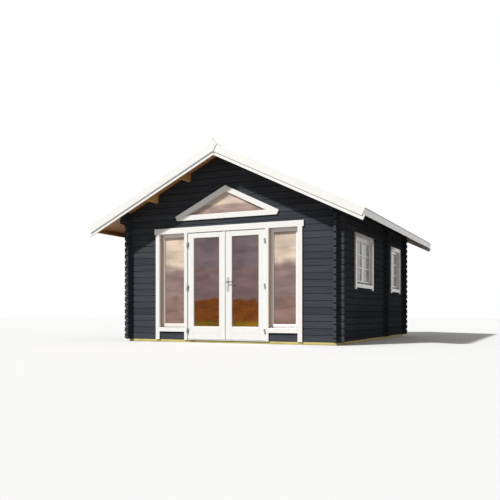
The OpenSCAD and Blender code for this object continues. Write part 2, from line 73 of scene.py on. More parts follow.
class Bare(Enum):
    """Part of a painted timber that is left as bare pine."""

    NONE = "none"
    BEHIND_FRONT = "behind_front"
    BEHIND_SIDE = "behind_side"
    BESIDE_DOORS = "beside_doors"
    UNDER_EAVE = "under_eave"


class Edge(Enum):
    """Width of the bevel on a timber's or a plate's edges, in metres."""

    CRISP = 0.0
    FINE = 0.001
    PLANED = 0.0015
    SAWN = 0.002
    EASED = 0.0025
    ROUND = 0.003


class Face(Enum):
    """Outward direction of a glazed or fixed face."""

    FRONT = (0.0, -1.0, 0.0)
    SIDE = (1.0, 0.0, 0.0)

    @property
    def normal(self) -> Vector:
        """Outward unit vector."""
        return Vector(self.value)

    @property
    def level(self) -> Vector:
        """Level unit vector that runs to the right for a viewer outside."""
        return Vector((0, 0, 1)).cross(self.normal)


@dataclass(frozen=True)
class Box:
    """Bounds of one solid.

    Args:
        low: Lowest corner in metres.
        high: Highest corner in metres.
    """

    low: Vector
    high: Vector

    @property
    def middle(self) -> Vector:
        """Middle of the box."""
        return (self.low + self.high) / 2

    @property
    def size(self) -> Vector:
        """Lengths of the box."""
        return self.high - self.low


@dataclass(frozen=True)
class Datum:
    """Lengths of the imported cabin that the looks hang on, in metres."""

    half_w: float
    y_front: float
    y_rear: float
    beam_h: float
    log_h: float
    log_t: float
    ridge_z: float
    deck_front: float
    deck_rear: float
    deck_len: float
    deck_t: float
    felt_top: float
    post_x: float
    board_t: float = 0.020
    post_reach: float = 0.03
    pitch: float = math.radians(26)

    @classmethod
    def read(cls) -> "Datum":
        """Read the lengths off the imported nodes.

        Returns:
            The datum of this frame.
        """
        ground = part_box("foundation_side_beams")
        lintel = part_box("front_lintel_logs")
        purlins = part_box("roof_purlins")
        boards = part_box("right_roof_boards")
        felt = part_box("right_roof_felt")
        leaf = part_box("right_door_leaf")
        ridge_z, cos, sin = purlins[1].z, math.cos(cls.pitch), math.sin(cls.pitch)
        return cls(
            half_w=ground[1].x, y_front=ground[0].y, y_rear=ground[1].y, beam_h=ground[1].z,
            log_h=(lintel[1].z - lintel[0].z) / 2, log_t=lintel[1].y - lintel[0].y, ridge_z=ridge_z,
            deck_front=purlins[0].y, deck_rear=purlins[1].y, deck_len=(ridge_z - boards[0].z) / sin,
            deck_t=(boards[1].z - ridge_z) * cos, felt_top=(felt[1].z - ridge_z) * cos,
            post_x=leaf[1].x + cls.post_reach,
        )

    def slope(self, side: int, s: float, p: float, y: float) -> Vector:
        """Point of a slope.

        Args:
            side: 1 for the right slope and -1 for the left one.
            s: Way down from the ridge.
            p: Height over the underside of the roof boards, square to them.
            y: Place along the ridge.

        Returns:
            The point in the part's frame.
        """
        cos, sin = math.cos(self.pitch), math.sin(self.pitch)
        return Vector((side * (s * cos + p * sin), y, self.ridge_z - s * sin + p * cos))


def math_method(operation: str) -> Callable[..., "Value"]:
    """Method that joins its terms in a math node.

    Args:
        operation: Operation of the node.

    Returns:
        The method.
    """
    def method(*terms: Term) -> "Value":
        """Math node over the terms, of which the first is a value."""
        return terms[0].graph.node("ShaderNodeMath", {"operation": operation}, dict(enumerate(terms)))

    return method


class Value:
    """Output of a node that takes part in Python sums, where a comparison gives 1 or 0."""

    def __init__(self, graph: "Graph", socket: bpy.types.NodeSocket) -> None:
        """Keep the graph and the socket."""
        self.graph, self.socket = graph, socket

    __add__ = math_method("ADD")
    __sub__ = math_method("SUBTRACT")
    __mul__ = math_method("MULTIPLY")
    __truediv__ = math_method("DIVIDE")
    __mod__ = math_method("FLOORED_MODULO")
    __gt__ = math_method("GREATER_THAN")
    __lt__ = math_method("LESS_THAN")
    __abs__ = math_method("ABSOLUTE")
    floor = math_method("FLOOR")


class Graph:
    """Node tree that is written as Python calls."""

    def __init__(self, tree: bpy.types.NodeTree) -> None:
        """Keep the tree."""
        self.tree = tree

    def node(self, kind: str, settings: Optional[dict[str, Any]] = None,
             sockets: Optional[dict[Any, Any]] = None, out: Union[int, str] = 0) -> Value:
        """Make a node.

        Args:
            kind: Type of the node.
            settings: Properties, set before the sockets.
            sockets: Values or links by socket name or number.
            out: Output that the result stands for.

        Returns:
            The chosen output.
        """
        made = self.tree.nodes.new(kind)
        for name, value in (settings or {}).items():
            setattr(made, name, value)
        for key, value in (sockets or {}).items():
            if isinstance(value, Value):
                self.tree.links.new(value.socket, made.inputs[key])
            else:
                made.inputs[key].default_value = value
        return Value(self, made.outputs[out]) if len(made.outputs) else None

    def outputs(self, value: Value) -> list[Value]:
        """All outputs of the node behind a value."""
        return [Value(self, socket) for socket in value.socket.node.outputs]


@dataclass(frozen=True)
class Noise:
    """Noise pattern.

    Args:
        scale: Waves per metre along each of three coordinates.
        detail: Number of finer layers.
        roughness: Weight of the finer layers.
        bend: Bending of the waves.
    """

    scale: Scale
    detail: float = 4.0
    roughness: float = 0.55
    bend: float = 0.0


class FinishGraph(Graph):
    """Material that is written as Python calls."""

    def __init__(self, name: str) -> None:
        """Start an empty material.

        Args:
            name: Name of the material.
        """
        self.material = bpy.data.materials.new(name)
        self.material.use_nodes = True
        super().__init__(self.material.node_tree)
        self.tree.nodes.clear()

    def coords(self) -> list[Value]:
        """Object coordinates x, y and z in metres."""
        place = self.node("ShaderNodeTexCoord", out="Object")
        return self.outputs(self.node("ShaderNodeSeparateXYZ", {}, {0: place}))

    def normals(self) -> list[Value]:
        """Components of the surface's direction."""
        turn = self.node("ShaderNodeNewGeometry", out="Normal")
        return self.outputs(self.node("ShaderNodeSeparateXYZ", {}, {0: turn}))

    def timber(self, run: Run, datum: Datum) -> tuple[Value, Value, Value]:
        """Coordinates along and across the grain.

        Args:
            run: Direction of the grain.
            datum: Lengths of the cabin.

        Returns:
            Along, side and up, in metres.
        """
        x, y, z = self.coords()
        if run is Run.X:
            return x, y, z
        if run is Run.Y:
            return y, x, z
        if run is Run.Z:
            return z, x, y
        cos, sin = math.cos(datum.pitch), math.sin(datum.pitch)
        return abs(x) * cos - z * sin, y, abs(x) * sin + z * cos

    def spread(self, place: tuple[Value, ...], scale: Scale) -> Value:
        """Vector of three coordinates, each times its scale."""
        parts = [part * times for part, times in zip(place, scale)]
        return self.node("ShaderNodeCombineXYZ", {}, dict(enumerate(parts)))

    def noise(self, kind: Noise, *place: Value) -> Value:
        """Noise from 0 to 1.

        Args:
            kind: Pattern.
            *place: Three coordinates.

        Returns:
            The noise.
        """
        return self.node("ShaderNodeTexNoise", {}, {
            "Vector": self.spread(place, kind.scale), "Scale": 1.0, "Detail": kind.detail,
            "Roughness": kind.roughness, "Distortion": kind.bend})

    def lot(self, number: Value) -> Value:
        """Random value from 0 to 1 for each whole number."""
        return self.node("ShaderNodeTexWhiteNoise", {"noise_dimensions": "1D"}, {"W": number})

    def spots(self, scale: Scale, *place: Value) -> Value:
        """Distance to the nearest of points scattered over three coordinates."""
        sockets = {"Vector": self.spread(place, scale), "Scale": 1.0}
        return self.node("ShaderNodeTexVoronoi", {}, sockets, out="Distance")

    def ramp(self, value: Value, low: float, high: float, first: float = 0.0, last: float = 1.0) -> Value:
        """Smooth step of a value between two limits."""
        return self.node("ShaderNodeMapRange", {"interpolation_type": "SMOOTHSTEP"},
                         {0: value, 1: low, 2: high, 3: first, 4: last})

    def blend(self, share: Term, first: Tone, second: Tone) -> Value:
        """Mix of two colours."""
        return self.node("ShaderNodeMix", {"data_type": "RGBA"}, {0: share, 6: first, 7: second}, out=2)

    def tint(self, colour: Tone, light: Term) -> Value:
        """Colour made lighter or darker."""
        return self.node("ShaderNodeHueSaturation", {}, {"Color": colour, "Value": light})

    def bump(self, height: Value, reach: float) -> Value:
        """Normal of a rough surface whose height in metres is reach times the value."""
        return self.node("ShaderNodeBump", {}, {"Height": height, "Distance": reach, "Strength": 1.0})

    def surface(self, **sockets: Any) -> bpy.types.Material:
        """Close the material.

        Args:
            **sockets: Inputs of the surface shader, with underscores for spaces.

        Returns:
            The material.
        """
        named = {key.replace("_", " "): value for key, value in sockets.items()}
        shader = self.node("ShaderNodeBsdfPrincipled", {}, named)
        self.node("ShaderNodeOutputMaterial", {}, {"Surface": shader})
        return self.material


def place_object(name: str, data: Optional[bpy.types.ID]) -> bpy.types.Object:
    """Put a new object into the scene.

    Args:
        name: Name of the object.
        data: Its mesh, light or camera.

    Returns:
        The object.
    """
    made = bpy.data.objects.new(name, data)
    bpy.context.scene.collection.objects.link(made)
    return made


class GrowthGraph(Graph):
    """Geometry tree that is written as Python calls."""

    def __init__(self, name: str) -> None:
        """Start a tree with a geometry socket at each end.

        Args:
            name: Name of the tree.
        """
        super().__init__(bpy.data.node_groups.new(name, "GeometryNodeTree"))
        self.tree.interface.new_socket("Geometry", in_out="INPUT", socket_type="NodeSocketGeometry")
        self.tree.interface.new_socket("Geometry", in_out="OUTPUT", socket_type="NodeSocketGeometry")
        self.source = self.tree.nodes.new("NodeGroupInput")

    def take(self, name: str, kind: str) -> Value:
        """Named input of the tree."""
        self.tree.interface.new_socket(name, in_out="INPUT", socket_type=f"NodeSocket{kind}")
        return Value(self, self.source.outputs[name])

    def close(self, instances: Value, material: Value) -> "GrowthGraph":
        """Realize the instances and give them their material.

        Args:
            instances: Instances that the tree made.
            material: Input for the material.

        Returns:
            This tree.
        """
        solid = self.node("GeometryNodeRealizeInstances", {}, {0: instances})
        painted = self.node("GeometryNodeSetMaterial", {}, {"Geometry": solid, "Material": material})
        self.node("NodeGroupOutput", {}, {0: painted})
        return self

    def grow(self, name: str, mesh: Optional[bpy.types.Mesh] = None, **inputs: Any) -> bpy.types.Mesh:
        """Run the tree.

        Args:
            name: Name of the mesh.
            mesh: Mesh that the tree starts from.
            **inputs: Values of the named inputs, with underscores for spaces.

        Returns:
            A plain mesh.
        """
        host = place_object(name, mesh or bpy.data.meshes.new(name))
        modifier = host.modifiers.new(name, "NODES")
        modifier.node_group = self.tree
        for item in self.tree.interface.items_tree:
            key = item.name.replace(" ", "_")
            if item.in_out == "INPUT" and key in inputs:
                modifier[item.identifier] = inputs[key]
        depsgraph = bpy.context.evaluated_depsgraph_get()
        grown = bpy.data.meshes.new_from_object(host.evaluated_get(depsgraph), depsgraph=depsgraph)
        host.modifiers.remove(modifier)
        start = host.data
        bpy.data.objects.remove(host)
        bpy.data.meshes.remove(start)
        grown.name = name
        return grown


class Growths:
    """Trees that repeat small shapes."""

    def __init__(self) -> None:
        """Write the trees."""
        self.rows = self._rows()
        self.fixings = self._fixings()

    @staticmethod
    def _rows() -> GrowthGraph:
        """Rows of one piece, with every second row shifted.

        Returns:
            The tree.
        """
        g = GrowthGraph("rows")
        piece, count, step = g.take("Piece", "Object"), g.take("Count", "Int"), g.take("Step", "Vector")
        rows, row_step = g.take("Rows", "Int"), g.take("Row Step", "Vector")
        stagger, material = g.take("Stagger", "Vector"), g.take("Material", "Material")
        index = g.node("GeometryNodeInputIndex")
        row = (index / count).floor()
        scaled = [g.node("ShaderNodeVectorMath", {"operation": "SCALE"}, {0: way, "Scale": times})
                  for way, times in ((step, index % count), (row_step, row), (stagger, row % 2.0))]
        place = g.node("ShaderNodeVectorMath", {"operation": "ADD"}, {0: scaled[0], 1: scaled[1]})
        place = g.node("ShaderNodeVectorMath", {"operation": "ADD"}, {0: place, 1: scaled[2]})
        line = g.node("GeometryNodeMeshLine", {}, {"Count": count * rows, "Offset": (0, 0, 0)})
        points = g.node("GeometryNodeSetPosition", {}, {"Geometry": line, "Position": place})
        shape = g.node("GeometryNodeObjectInfo", {}, {"Object": piece}, out="Geometry")
        placed = g.node("GeometryNodeInstanceOnPoints", {}, {"Points": points, "Instance": shape})
        return g.close(placed, material)

    @staticmethod
    def _fixings() -> GrowthGraph:
        """Screw heads on the points of a mesh, each with its own size.

        Returns:
            The tree.
        """
        g = GrowthGraph("fixings")
        head, seed, material = g.take("Head", "Object"), g.take("Seed", "Int"), g.take("Material", "Material")
        least, most = g.take("Least", "Float"), g.take("Most", "Float")
        size = g.node("FunctionNodeRandomValue", {"data_type": "FLOAT"},
                      {2: least, 3: most, "Seed": seed}, out=1)
        shape = g.node("GeometryNodeObjectInfo", {}, {"Object": head}, out="Geometry")
        placed = g.node("GeometryNodeInstanceOnPoints", {}, {
            "Points": Value(g, g.source.outputs["Geometry"]), "Instance": shape, "Scale": size})
        return g.close(placed, material)


class Draft:
    """Mesh that is drawn solid by solid."""

    def __init__(self) -> None:
        """Start empty."""
        self.bm = bmesh.new()

    def block(self, low: Vector, high: Vector, bevel: float) -> "Draft":
        """Add a box with bevelled edges.

        Args:
            low: One corner.
            high: The opposite corner.
            bevel: Width of the bevel.

        Returns:
            This draft.
        """
        low, high = Vector(map(min, low, high)), Vector(map(max, low, high))
        place = Matrix.Translation((low + high) / 2) @ Matrix.Diagonal((*(high - low), 1))
        made = bmesh.ops.create_cube(self.bm, size=1.0, matrix=place)["verts"]
        edges = {edge for vert in made for edge in vert.link_edges}
        bmesh.ops.bevel(self.bm, geom=list(edges), offset=bevel, segments=1, affect="EDGES")
        return self

    def loft(self, rings: list[list[Vector]], closed: bool = False) -> "Draft":
        """Add a skin through rings of points.

        Args:
            rings: Rings with the same number of points.
            closed: Whether the last ring meets the first; if not, both ends get a cap.

        Returns:
            This draft.
        """
        verts = [[self.bm.verts.new(point) for point in ring] for ring in rings]
        pairs = list(zip(verts, verts[1:] + verts[:1])) if closed else list(zip(verts, verts[1:]))
        count = len(verts[0])
        faces = [self.bm.faces.new((a[i], a[(i + 1) % count], b[(i + 1) % count], b[i]))
                 for a, b in pairs for i in range(count)]
        if not closed:
            faces += [self.bm.faces.new(verts[0][::-1]), self.bm.faces.new(verts[-1])]
        bmesh.ops.recalc_face_normals(self.bm, faces=faces)
        return self

    def moulding(self, corners: list[Vector], normal: Vector, profile: Outline) -> "Draft":
        """Add a mitred moulding round a flat loop.

        Args:
            corners: Loop, anticlockwise for a viewer whom the normal points to.
            normal: Outward unit vector of the loop's plane.
            profile: Points as the way in from the loop and the way out along the normal.

        Returns:
            This draft.
        """
        rings = []
        for i, corner in enumerate(corners):
            before = normal.cross((corner - corners[i - 1]).normalized())
            after = normal.cross((corners[(i + 1) % len(corners)] - corner).normalized())
            mitre = (before + after) / (1 + before.dot(after))
            rings.append([corner + mitre * u + normal * v for u, v in profile])
        return self.loft(rings, closed=True)

    def turned(self, axis: Vector, profile: Outline, count: int) -> "Draft":
        """Add a turned solid that starts at the origin.

        Args:
            axis: Unit vector of the axis.
            profile: Radius and height of each ring.
            count: Points in a ring.

        Returns:
            This draft.
        """
        u = axis.orthogonal().normalized()
        v = axis.cross(u)
        turns = [2 * math.pi * i / count for i in range(count)]
        ring = [u * math.cos(turn) + v * math.sin(turn) for turn in turns]
        return self.loft([[axis * height + way * radius for way in ring] for radius, height in profile])

    def join(self, mesh: bpy.types.Mesh) -> "Draft":
        """Add a finished mesh and drop the original.

        Args:
            mesh: Finished mesh.

        Returns:
            This draft.
        """
        self.bm.from_mesh(mesh)
        bpy.data.meshes.remove(mesh)
        return self

    def mesh(self, name: str) -> bpy.types.Mesh:
        """Close the draft.

        Args:
            name: Name of the mesh.

        Returns:
            The mesh.
        """
        made = bpy.data.meshes.new(name)
        self.bm.to_mesh(made)
        self.bm.free()
        return made


class Finish(Protocol):
    """Anything that can write its own material."""

    def make(self, datum: Datum) -> bpy.types.Material:
        """Write the material."""


@dataclass(frozen=True)
class PineGrain:
    """Bare pine: growth rings, fibres and knots."""

    light: Colour = (0.62, 0.30, 0.100, 1)
    dark: Colour = (0.37, 0.14, 0.036, 1)
    knot: Colour = (0.10, 0.04, 0.018, 1)
    rings: Noise = Noise((0.7, 14.0, 14.0), 2.0, bend=0.6)
    ring_count: float = 9.0
    fibres: Noise = Noise((7.0, 420.0, 420.0), 3.0)
    knots: Scale = (1.5, 7.0, 7.0)
    late_from: float = 0.25
    late_to: float = 0.95
    knot_core: float = 0.05
    knot_r: float = 0.14
    lot_gap: float = 37.0

    def paint(self, g: FinishGraph, grain: tuple[Value, Value, Value], lot: Term) -> tuple[Value, Value]:
        """Colour and height of the wood.

        Args:
            g: Material under way.
            grain: Coordinates along, side and up.
            lot: Random value of the timber.

        Returns:
            Colour and bump height.
        """
        along, side, up = grain
        place = (along + lot * self.lot_gap, side, up)
        late = g.ramp(g.noise(self.rings, *place) * self.ring_count % 1.0, self.late_from, self.late_to)
        fibre = g.noise(self.fibres, *place)
        knots = g.ramp(g.spots(self.knots, *place), self.knot_core, self.knot_r, 1.0, 0.0)
        wood = g.blend(late * 0.55 + fibre * 0.25, self.light, self.dark)
        wood = g.blend(knots * 0.85, wood, self.knot)
        return g.tint(wood, lot * 0.34 + 0.82), fibre * 0.5 + late * 0.5


@dataclass(frozen=True)
class StainedLog:
    """Dark stain on logs outside and bare pine inside, with painted shade along the grooves between logs."""

    run: Run
    shift: float
    dark: Colour = (0.041, 0.0455, 0.0535, 1)
    light: Colour = (0.066, 0.0725, 0.083, 1)
    dust: Colour = (0.080, 0.081, 0.082, 1)
    groove_shade: Colour = (0.012, 0.013, 0.016, 1)
    streaks: Noise = Noise((2.2, 60.0, 95.0), 7.0, 0.62)
    clouds: Noise = Noise((1.1, 1.1, 1.7), 3.0)
    end_rings: Noise = Noise((30.0, 6.0, 55.0), 5.0, bend=2.0)
    lot_gap: float = 24.0909
    end_turn: float = 0.8
    groove_shade_from: float = 0.435
    groove_shade_to: float = 0.475
    splash_full: float = 0.16
    splash_end: float = 0.55
    relief: float = 0.0012
    pine: PineGrain = PineGrain()

    def make(self, datum: Datum) -> bpy.types.Material:
        """Write the material.

        Args:
            datum: Lengths of the cabin.

        Returns:
            The material.
        """
        g = FinishGraph(f"stained_log_{self.run.value}")
        x, y, z = g.coords()
        grain = g.timber(self.run, datum)
        along, side, up = grain
        height = (z - datum.beam_h) / datum.log_h + self.shift
        lot = g.lot(height.floor())
        streak = g.noise(self.streaks, along + lot * self.lot_gap, side, up)
        cloud = g.noise(self.clouds, x, y, z)
        # Painted shade: a near-black line along each groove between two logs.
        groove_shade = g.ramp(abs(height % 1.0 - 0.5), self.groove_shade_from, self.groove_shade_to)
        stain = g.blend(g.ramp(streak, 0.3, 0.72), self.dark, self.light)
        stain = g.tint(stain, lot * 0.26 + cloud * 0.3 + 0.72)
        stain = g.blend(groove_shade * 0.8, stain, self.groove_shade)
        splash = g.ramp(z + cloud * 0.25, self.splash_full, self.splash_end, 0.30, 0.0)
        stain = g.blend(splash * streak, stain, self.dust)
        ends = abs(g.normals()[0 if self.run is Run.X else 1]) > self.end_turn
        rings = g.noise(self.end_rings, side, side, up)
        stain = g.blend(ends * g.ramp(rings, 0.35, 0.7) * 0.4, stain, self.dust)
        inset = datum.log_t / 2
        inside = (abs(x) < datum.half_w - inset) * (y > datum.y_front + inset)
        inside = inside * (y < datum.y_rear - inset)
        wood, wood_height = self.pine.paint(g, grain, lot)
        return g.surface(
            Base_Color=g.blend(inside, stain, wood),
            Roughness=streak * 0.22 + inside * 0.1 + 0.46,
            Specular_IOR_Level=0.0,
            Normal=g.bump(streak * 0.7 + wood_height * 0.3 + rings * ends, self.relief),
        )


@dataclass(frozen=True)
class Seam:
    """Hairline where two members of a frame meet."""

    run: Run
    at: float
    low: float
    high: float
    width: float = 0.0009

    def mask(self, level: Value, up: Value) -> Value:
        """1 on the hairline, from the level and the upright coordinate."""
        across, along = (level, up) if self.run is Run.Z else (up, level)
        return (abs(across - self.at) < self.width) * (along > self.low) * (along < self.high)


@dataclass(frozen=True)
class WhitePaint:
    """Warm white paint on timber, with bare pine where a board isn't painted."""

    name: str
    run: Run
    bare: Bare = Bare.NONE
    depth: float = 0.0
    seams: tuple[Seam, ...] = ()
    colour: Colour = (0.80, 0.785, 0.75, 1)
    grime: Colour = (0.46, 0.43, 0.385, 1)
    brushing: Noise = Noise((5.0, 170.0, 170.0), 5.0)
    clouds: Noise = Noise((2.3, 2.3, 2.3), 4.0, 0.65)
    inward: float = -0.3
    coat_ior: float = 1.75
    coat_rough: float = 0.18
    relief: float = 0.0005
    pine: PineGrain = PineGrain()

    def make(self, datum: Datum) -> bpy.types.Material:
        """Write the material.

        Args:
            datum: Lengths of the cabin.

        Returns:
            The material.
        """
        g = FinishGraph(f"white_paint_{self.name}")
        x, y, z = g.coords()
        grain = g.timber(self.run, datum)
        brush = g.noise(self.brushing, *grain)
        cloud = g.noise(self.clouds, x, y, z)
        paint = g.tint(self.colour, brush * 0.10 + cloud * 0.12 + 0.89)
        paint = g.blend(g.ramp(cloud, 0.55, 0.85) * 0.22, paint, self.grime)
        height, rough = brush, brush * 0.16 + cloud * 0.1 + 0.34
        for seam in self.seams:
            line = seam.mask(x, z)
            paint, height = g.blend(line * 0.7, paint, self.grime), height - line * 2.0
        mask = self._mask(g, datum, x, y)
        if mask is not None:
            wood, wood_height = self.pine.paint(g, grain, cloud)
            paint = g.blend(mask, paint, wood)
            height, rough = height * 0.5 + wood_height * mask * 0.5, rough + mask * 0.12
        return g.surface(Base_Color=paint, Roughness=rough, Specular_IOR_Level=0.45, Coat_Weight=1.0,
                         Coat_IOR=self.coat_ior, Coat_Roughness=self.coat_rough,
                         Normal=g.bump(height, self.relief))

    def _mask(self, g: FinishGraph, datum: Datum, x: Value, y: Value) -> Optional[Value]:
        """Where the pine is bare.

        Args:
            g: Material under way.
            datum: Lengths of the cabin.
            x: Object coordinate across the front.
            y: Object coordinate along the sides.

        Returns:
            1 on bare pine and 0 on paint, or nothing if all is painted.
        """
        if self.bare is Bare.BEHIND_FRONT:
            return y > datum.y_front + self.depth
        if self.bare is Bare.BESIDE_DOORS:
            return (y > datum.y_front + self.depth) * (abs(x) > datum.post_x)
        if self.bare is Bare.BEHIND_SIDE:
            return x < datum.half_w - self.depth
        if self.bare is Bare.UNDER_EAVE:
            return g.normals()[0] * x < self.inward
        return None


@dataclass(frozen=True)
class BarePine:
    """Oiled pine boards and beams, each with its own shade."""

    name: str
    run: Run
    board_w: float
    across: Run
    pine: PineGrain = PineGrain()
    clouds: Noise = Noise((1.7, 1.7, 1.7), 3.0)
    side_lot: float = 71.0
    relief: float = 0.0006

    def make(self, datum: Datum) -> bpy.types.Material:
        """Write the material.

        Args:
            datum: Lengths of the cabin.

        Returns:
            The material.
        """
        g = FinishGraph(f"pine_{self.name}")
        x, y, z = g.coords()
        grain = g.timber(self.run, datum)
        place = {Run.X: x, Run.Y: y, Run.Z: z}[self.across]
        lot = g.lot((place / self.board_w + 0.5).floor() + (x > 0.0) * self.side_lot)
        wood, height = self.pine.paint(g, grain, lot)
        cloud = g.noise(self.clouds, x, y, z)
        return g.surface(Base_Color=g.tint(wood, cloud * 0.3 + 0.85), Roughness=cloud * 0.2 + 0.42,
                         Specular_IOR_Level=0.4, Normal=g.bump(height, self.relief))


@dataclass(frozen=True)
class Shingle:
    """Felt shingles with mineral grit, each tab with its own shade.

    Args:
        start: Place of the first tab along the ridge.
        butt: Way from the ridge to the lower edge of the first row.
        tab_w: Width that one tab takes.
        show: Part of a tab that shows.
    """

    start: float
    butt: float
    tab_w: float
    show: float
    dark: Colour = (0.018, 0.019, 0.021, 1)
    light: Colour = (0.088, 0.091, 0.096, 1)
    grains: Noise = Noise((420.0, 420.0, 420.0), 2.0, 0.7)
    weather: Noise = Noise((0.9, 3.0, 1.0))
    row_lot: float = 13.7
    tab_lot: float = 3.1
    side_lot: float = 7.7
    relief: float = 0.0012

    def make(self, datum: Datum) -> bpy.types.Material:
        """Write the material.

        Args:
            datum: Lengths of the cabin.

        Returns:
            The material.
        """
        g = FinishGraph("felt_grit")
        x, y, z = g.coords()
        along, side, up = g.timber(Run.SLOPE, datum)
        way = along + datum.ridge_z * math.sin(datum.pitch)
        place = (way - self.butt) / -self.show
        row, share = place.floor(), place % 1.0
        tab = ((y - self.start) / self.tab_w - (row % 2.0) * 0.5).floor()
        lot = g.lot(row * self.row_lot + tab * self.tab_lot + (x > 0.0) * self.side_lot)
        grit = g.noise(self.grains, x, y, z)
        weather = g.noise(self.weather, way, side, up)
        felt = g.blend(g.ramp(grit, 0.38, 0.66), self.dark, self.light)
        felt = g.tint(felt, lot * 0.5 + weather * 0.4 + 0.58)
        shadow = g.ramp(share, 0.90, 1.0) * 0.55 + g.ramp(share, 0.0, 0.05, 0.3, 0.0)
        felt = g.blend(shadow, felt, self.dark)
        return g.surface(Base_Color=felt, Roughness=grit * 0.12 + 0.82, Specular_IOR_Level=0.25,
                         Normal=g.bump(grit, self.relief))


@dataclass(frozen=True)
class TintAndReflection:
    """Painted reflection over a pane's own tint: tones from its foot to its head, with painted ground
    reflection low and painted sky reflection high, and where they meet as shares of its height.
    """

    foot: Colour
    low: Colour
    mid: Colour
    head: Colour
    foot_at: float
    low_at: float
    head_at: float
    reflection_mottle: float = 0.0


# Painted reflections: each pane's tones hold the glass's brown tint with painted sky, cloud and ground
# reflection.
DOOR_TINT_AND_REFLECTION = TintAndReflection((0.197, 0.104, 0.001, 1), (0.172, 0.046, 0.003, 1), (0.177, 0.112, 0.111, 1),
                   (0.157, 0.115, 0.129, 1), 0.05, 0.30, 0.62, 0.45)
LIGHT_TINT_AND_REFLECTION = TintAndReflection((0.235, 0.140, 0.115, 1), (0.262, 0.160, 0.135, 1), (0.270, 0.180, 0.165, 1),
                    (0.68, 0.545, 0.43, 1), 0.06, 0.30, 0.625)
GABLE_TINT_AND_REFLECTION = TintAndReflection((0.35, 0.25, 0.22, 1), (0.36, 0.25, 0.225, 1), (0.42, 0.31, 0.265, 1),
                    (0.69, 0.54, 0.43, 1), 0.05, 0.15, 0.40)
SIDE_TINT_AND_REFLECTION = TintAndReflection((0.56, 0.48, 0.40, 1), (0.52, 0.45, 0.38, 1), (0.58, 0.53, 0.49, 1),
                   (0.64, 0.65, 0.66, 1), 0.10, 0.30, 0.60)


@dataclass(frozen=True)
class Glazing:
    """Smooth tinted glass, partly clear, with soft bands of painted sky and ground reflection over its tint.
    """

    name: str
    low: float
    high: float
    tint_and_reflection: TintAndReflection
    alpha: float = 0.86
    shine: float = 0.35
    # Noises of the painted reflection: clouds, a ragged edge and haze.
    clouds: Noise = Noise((2.2, 2.2, 3.4), 5.0, 0.5, 0.4)
    reflection_rags: Noise = Noise((26.0, 26.0, 30.0), 6.0, 0.65)
    reflection_haze: Noise = Noise((2.4, 2.4, 6.5), 5.0, 0.45, 0.5)
    film: Noise = Noise((9.0, 9.0, 14.0), 5.0)
    foot_soft: tuple[float, float] = (-0.01, 0.03)
    low_soft: tuple[float, float] = (-0.018, 0.018)
    head_soft: tuple[float, float] = (-0.03, 0.08)
    relief: float = 0.0002

    def make(self, datum: Datum) -> bpy.types.Material:
        """Write the material.

        Args:
            datum: Lengths of the cabin; not used.

        Returns:
            The material.
        """
        g = FinishGraph(f"glass_{self.name}")
        x, y, z = g.coords()
        tint_and_reflection = self.tint_and_reflection
        # Painted sky and ground reflection bands, broken up by cloud, ragged and haze noise.
        cloud, reflection_ragging, reflection_haze, film = (g.noise(kind, x, y, z)
                                     for kind in (self.clouds, self.reflection_rags, self.reflection_haze, self.film))
        rise = (z - self.low) / (self.high - self.low)
        edge = rise + (cloud - 0.5) * 0.20 + (reflection_ragging - 0.5) * 0.035
        foot, low, head = (g.ramp(way, *(at + soft for soft in softs)) for way, at, softs in (
            (rise, tint_and_reflection.foot_at, self.foot_soft), (edge, tint_and_reflection.low_at, self.low_soft),
            (edge, tint_and_reflection.head_at, self.head_soft)))
        reflection_mottle = g.ramp(reflection_ragging, 0.3, 0.7) * tint_and_reflection.reflection_mottle + cloud * 0.6 + 0.7 - tint_and_reflection.reflection_mottle * 0.5
        tone = g.tint(g.blend(foot, tint_and_reflection.foot, tint_and_reflection.low), reflection_mottle)
        tone = g.blend(head, g.blend(low, tone, tint_and_reflection.mid), tint_and_reflection.head)
        tone = g.tint(tone, g.ramp(reflection_haze, 0.25, 0.75) * 0.5 + 0.75)
        return g.surface(Base_Color=tone, Roughness=film * 0.06 + 0.03, Alpha=self.alpha,
                         Specular_IOR_Level=self.shine, Normal=g.bump(film, self.relief))


@dataclass(frozen=True)
class Metal:
    """Drawn or brushed metal."""

    name: str
    colour: Colour
    rough: float
    run: Run = Run.Z
    metallic: float = 1.0
    brushing: Noise = Noise((14.0, 900.0, 900.0))
    smears: Noise = Noise((8.0, 8.0, 8.0), 3.0)
    relief: float = 0.0001

    def make(self, datum: Datum) -> bpy.types.Material:
        """Write the material.

        Args:
            datum: Lengths of the cabin.

        Returns:
            The material.
        """
        g = FinishGraph(f"metal_{self.name}")
        grain = g.timber(self.run, datum)
        brush, smear = g.noise(self.brushing, *grain), g.noise(self.smears, *grain)
        return g.surface(Base_Color=g.tint(self.colour, brush * 0.2 + smear * 0.2 + 0.8),
                         Roughness=brush * 0.14 + smear * 0.16 + self.rough, Metallic=self.metallic,
                         Normal=g.bump(brush, self.relief))


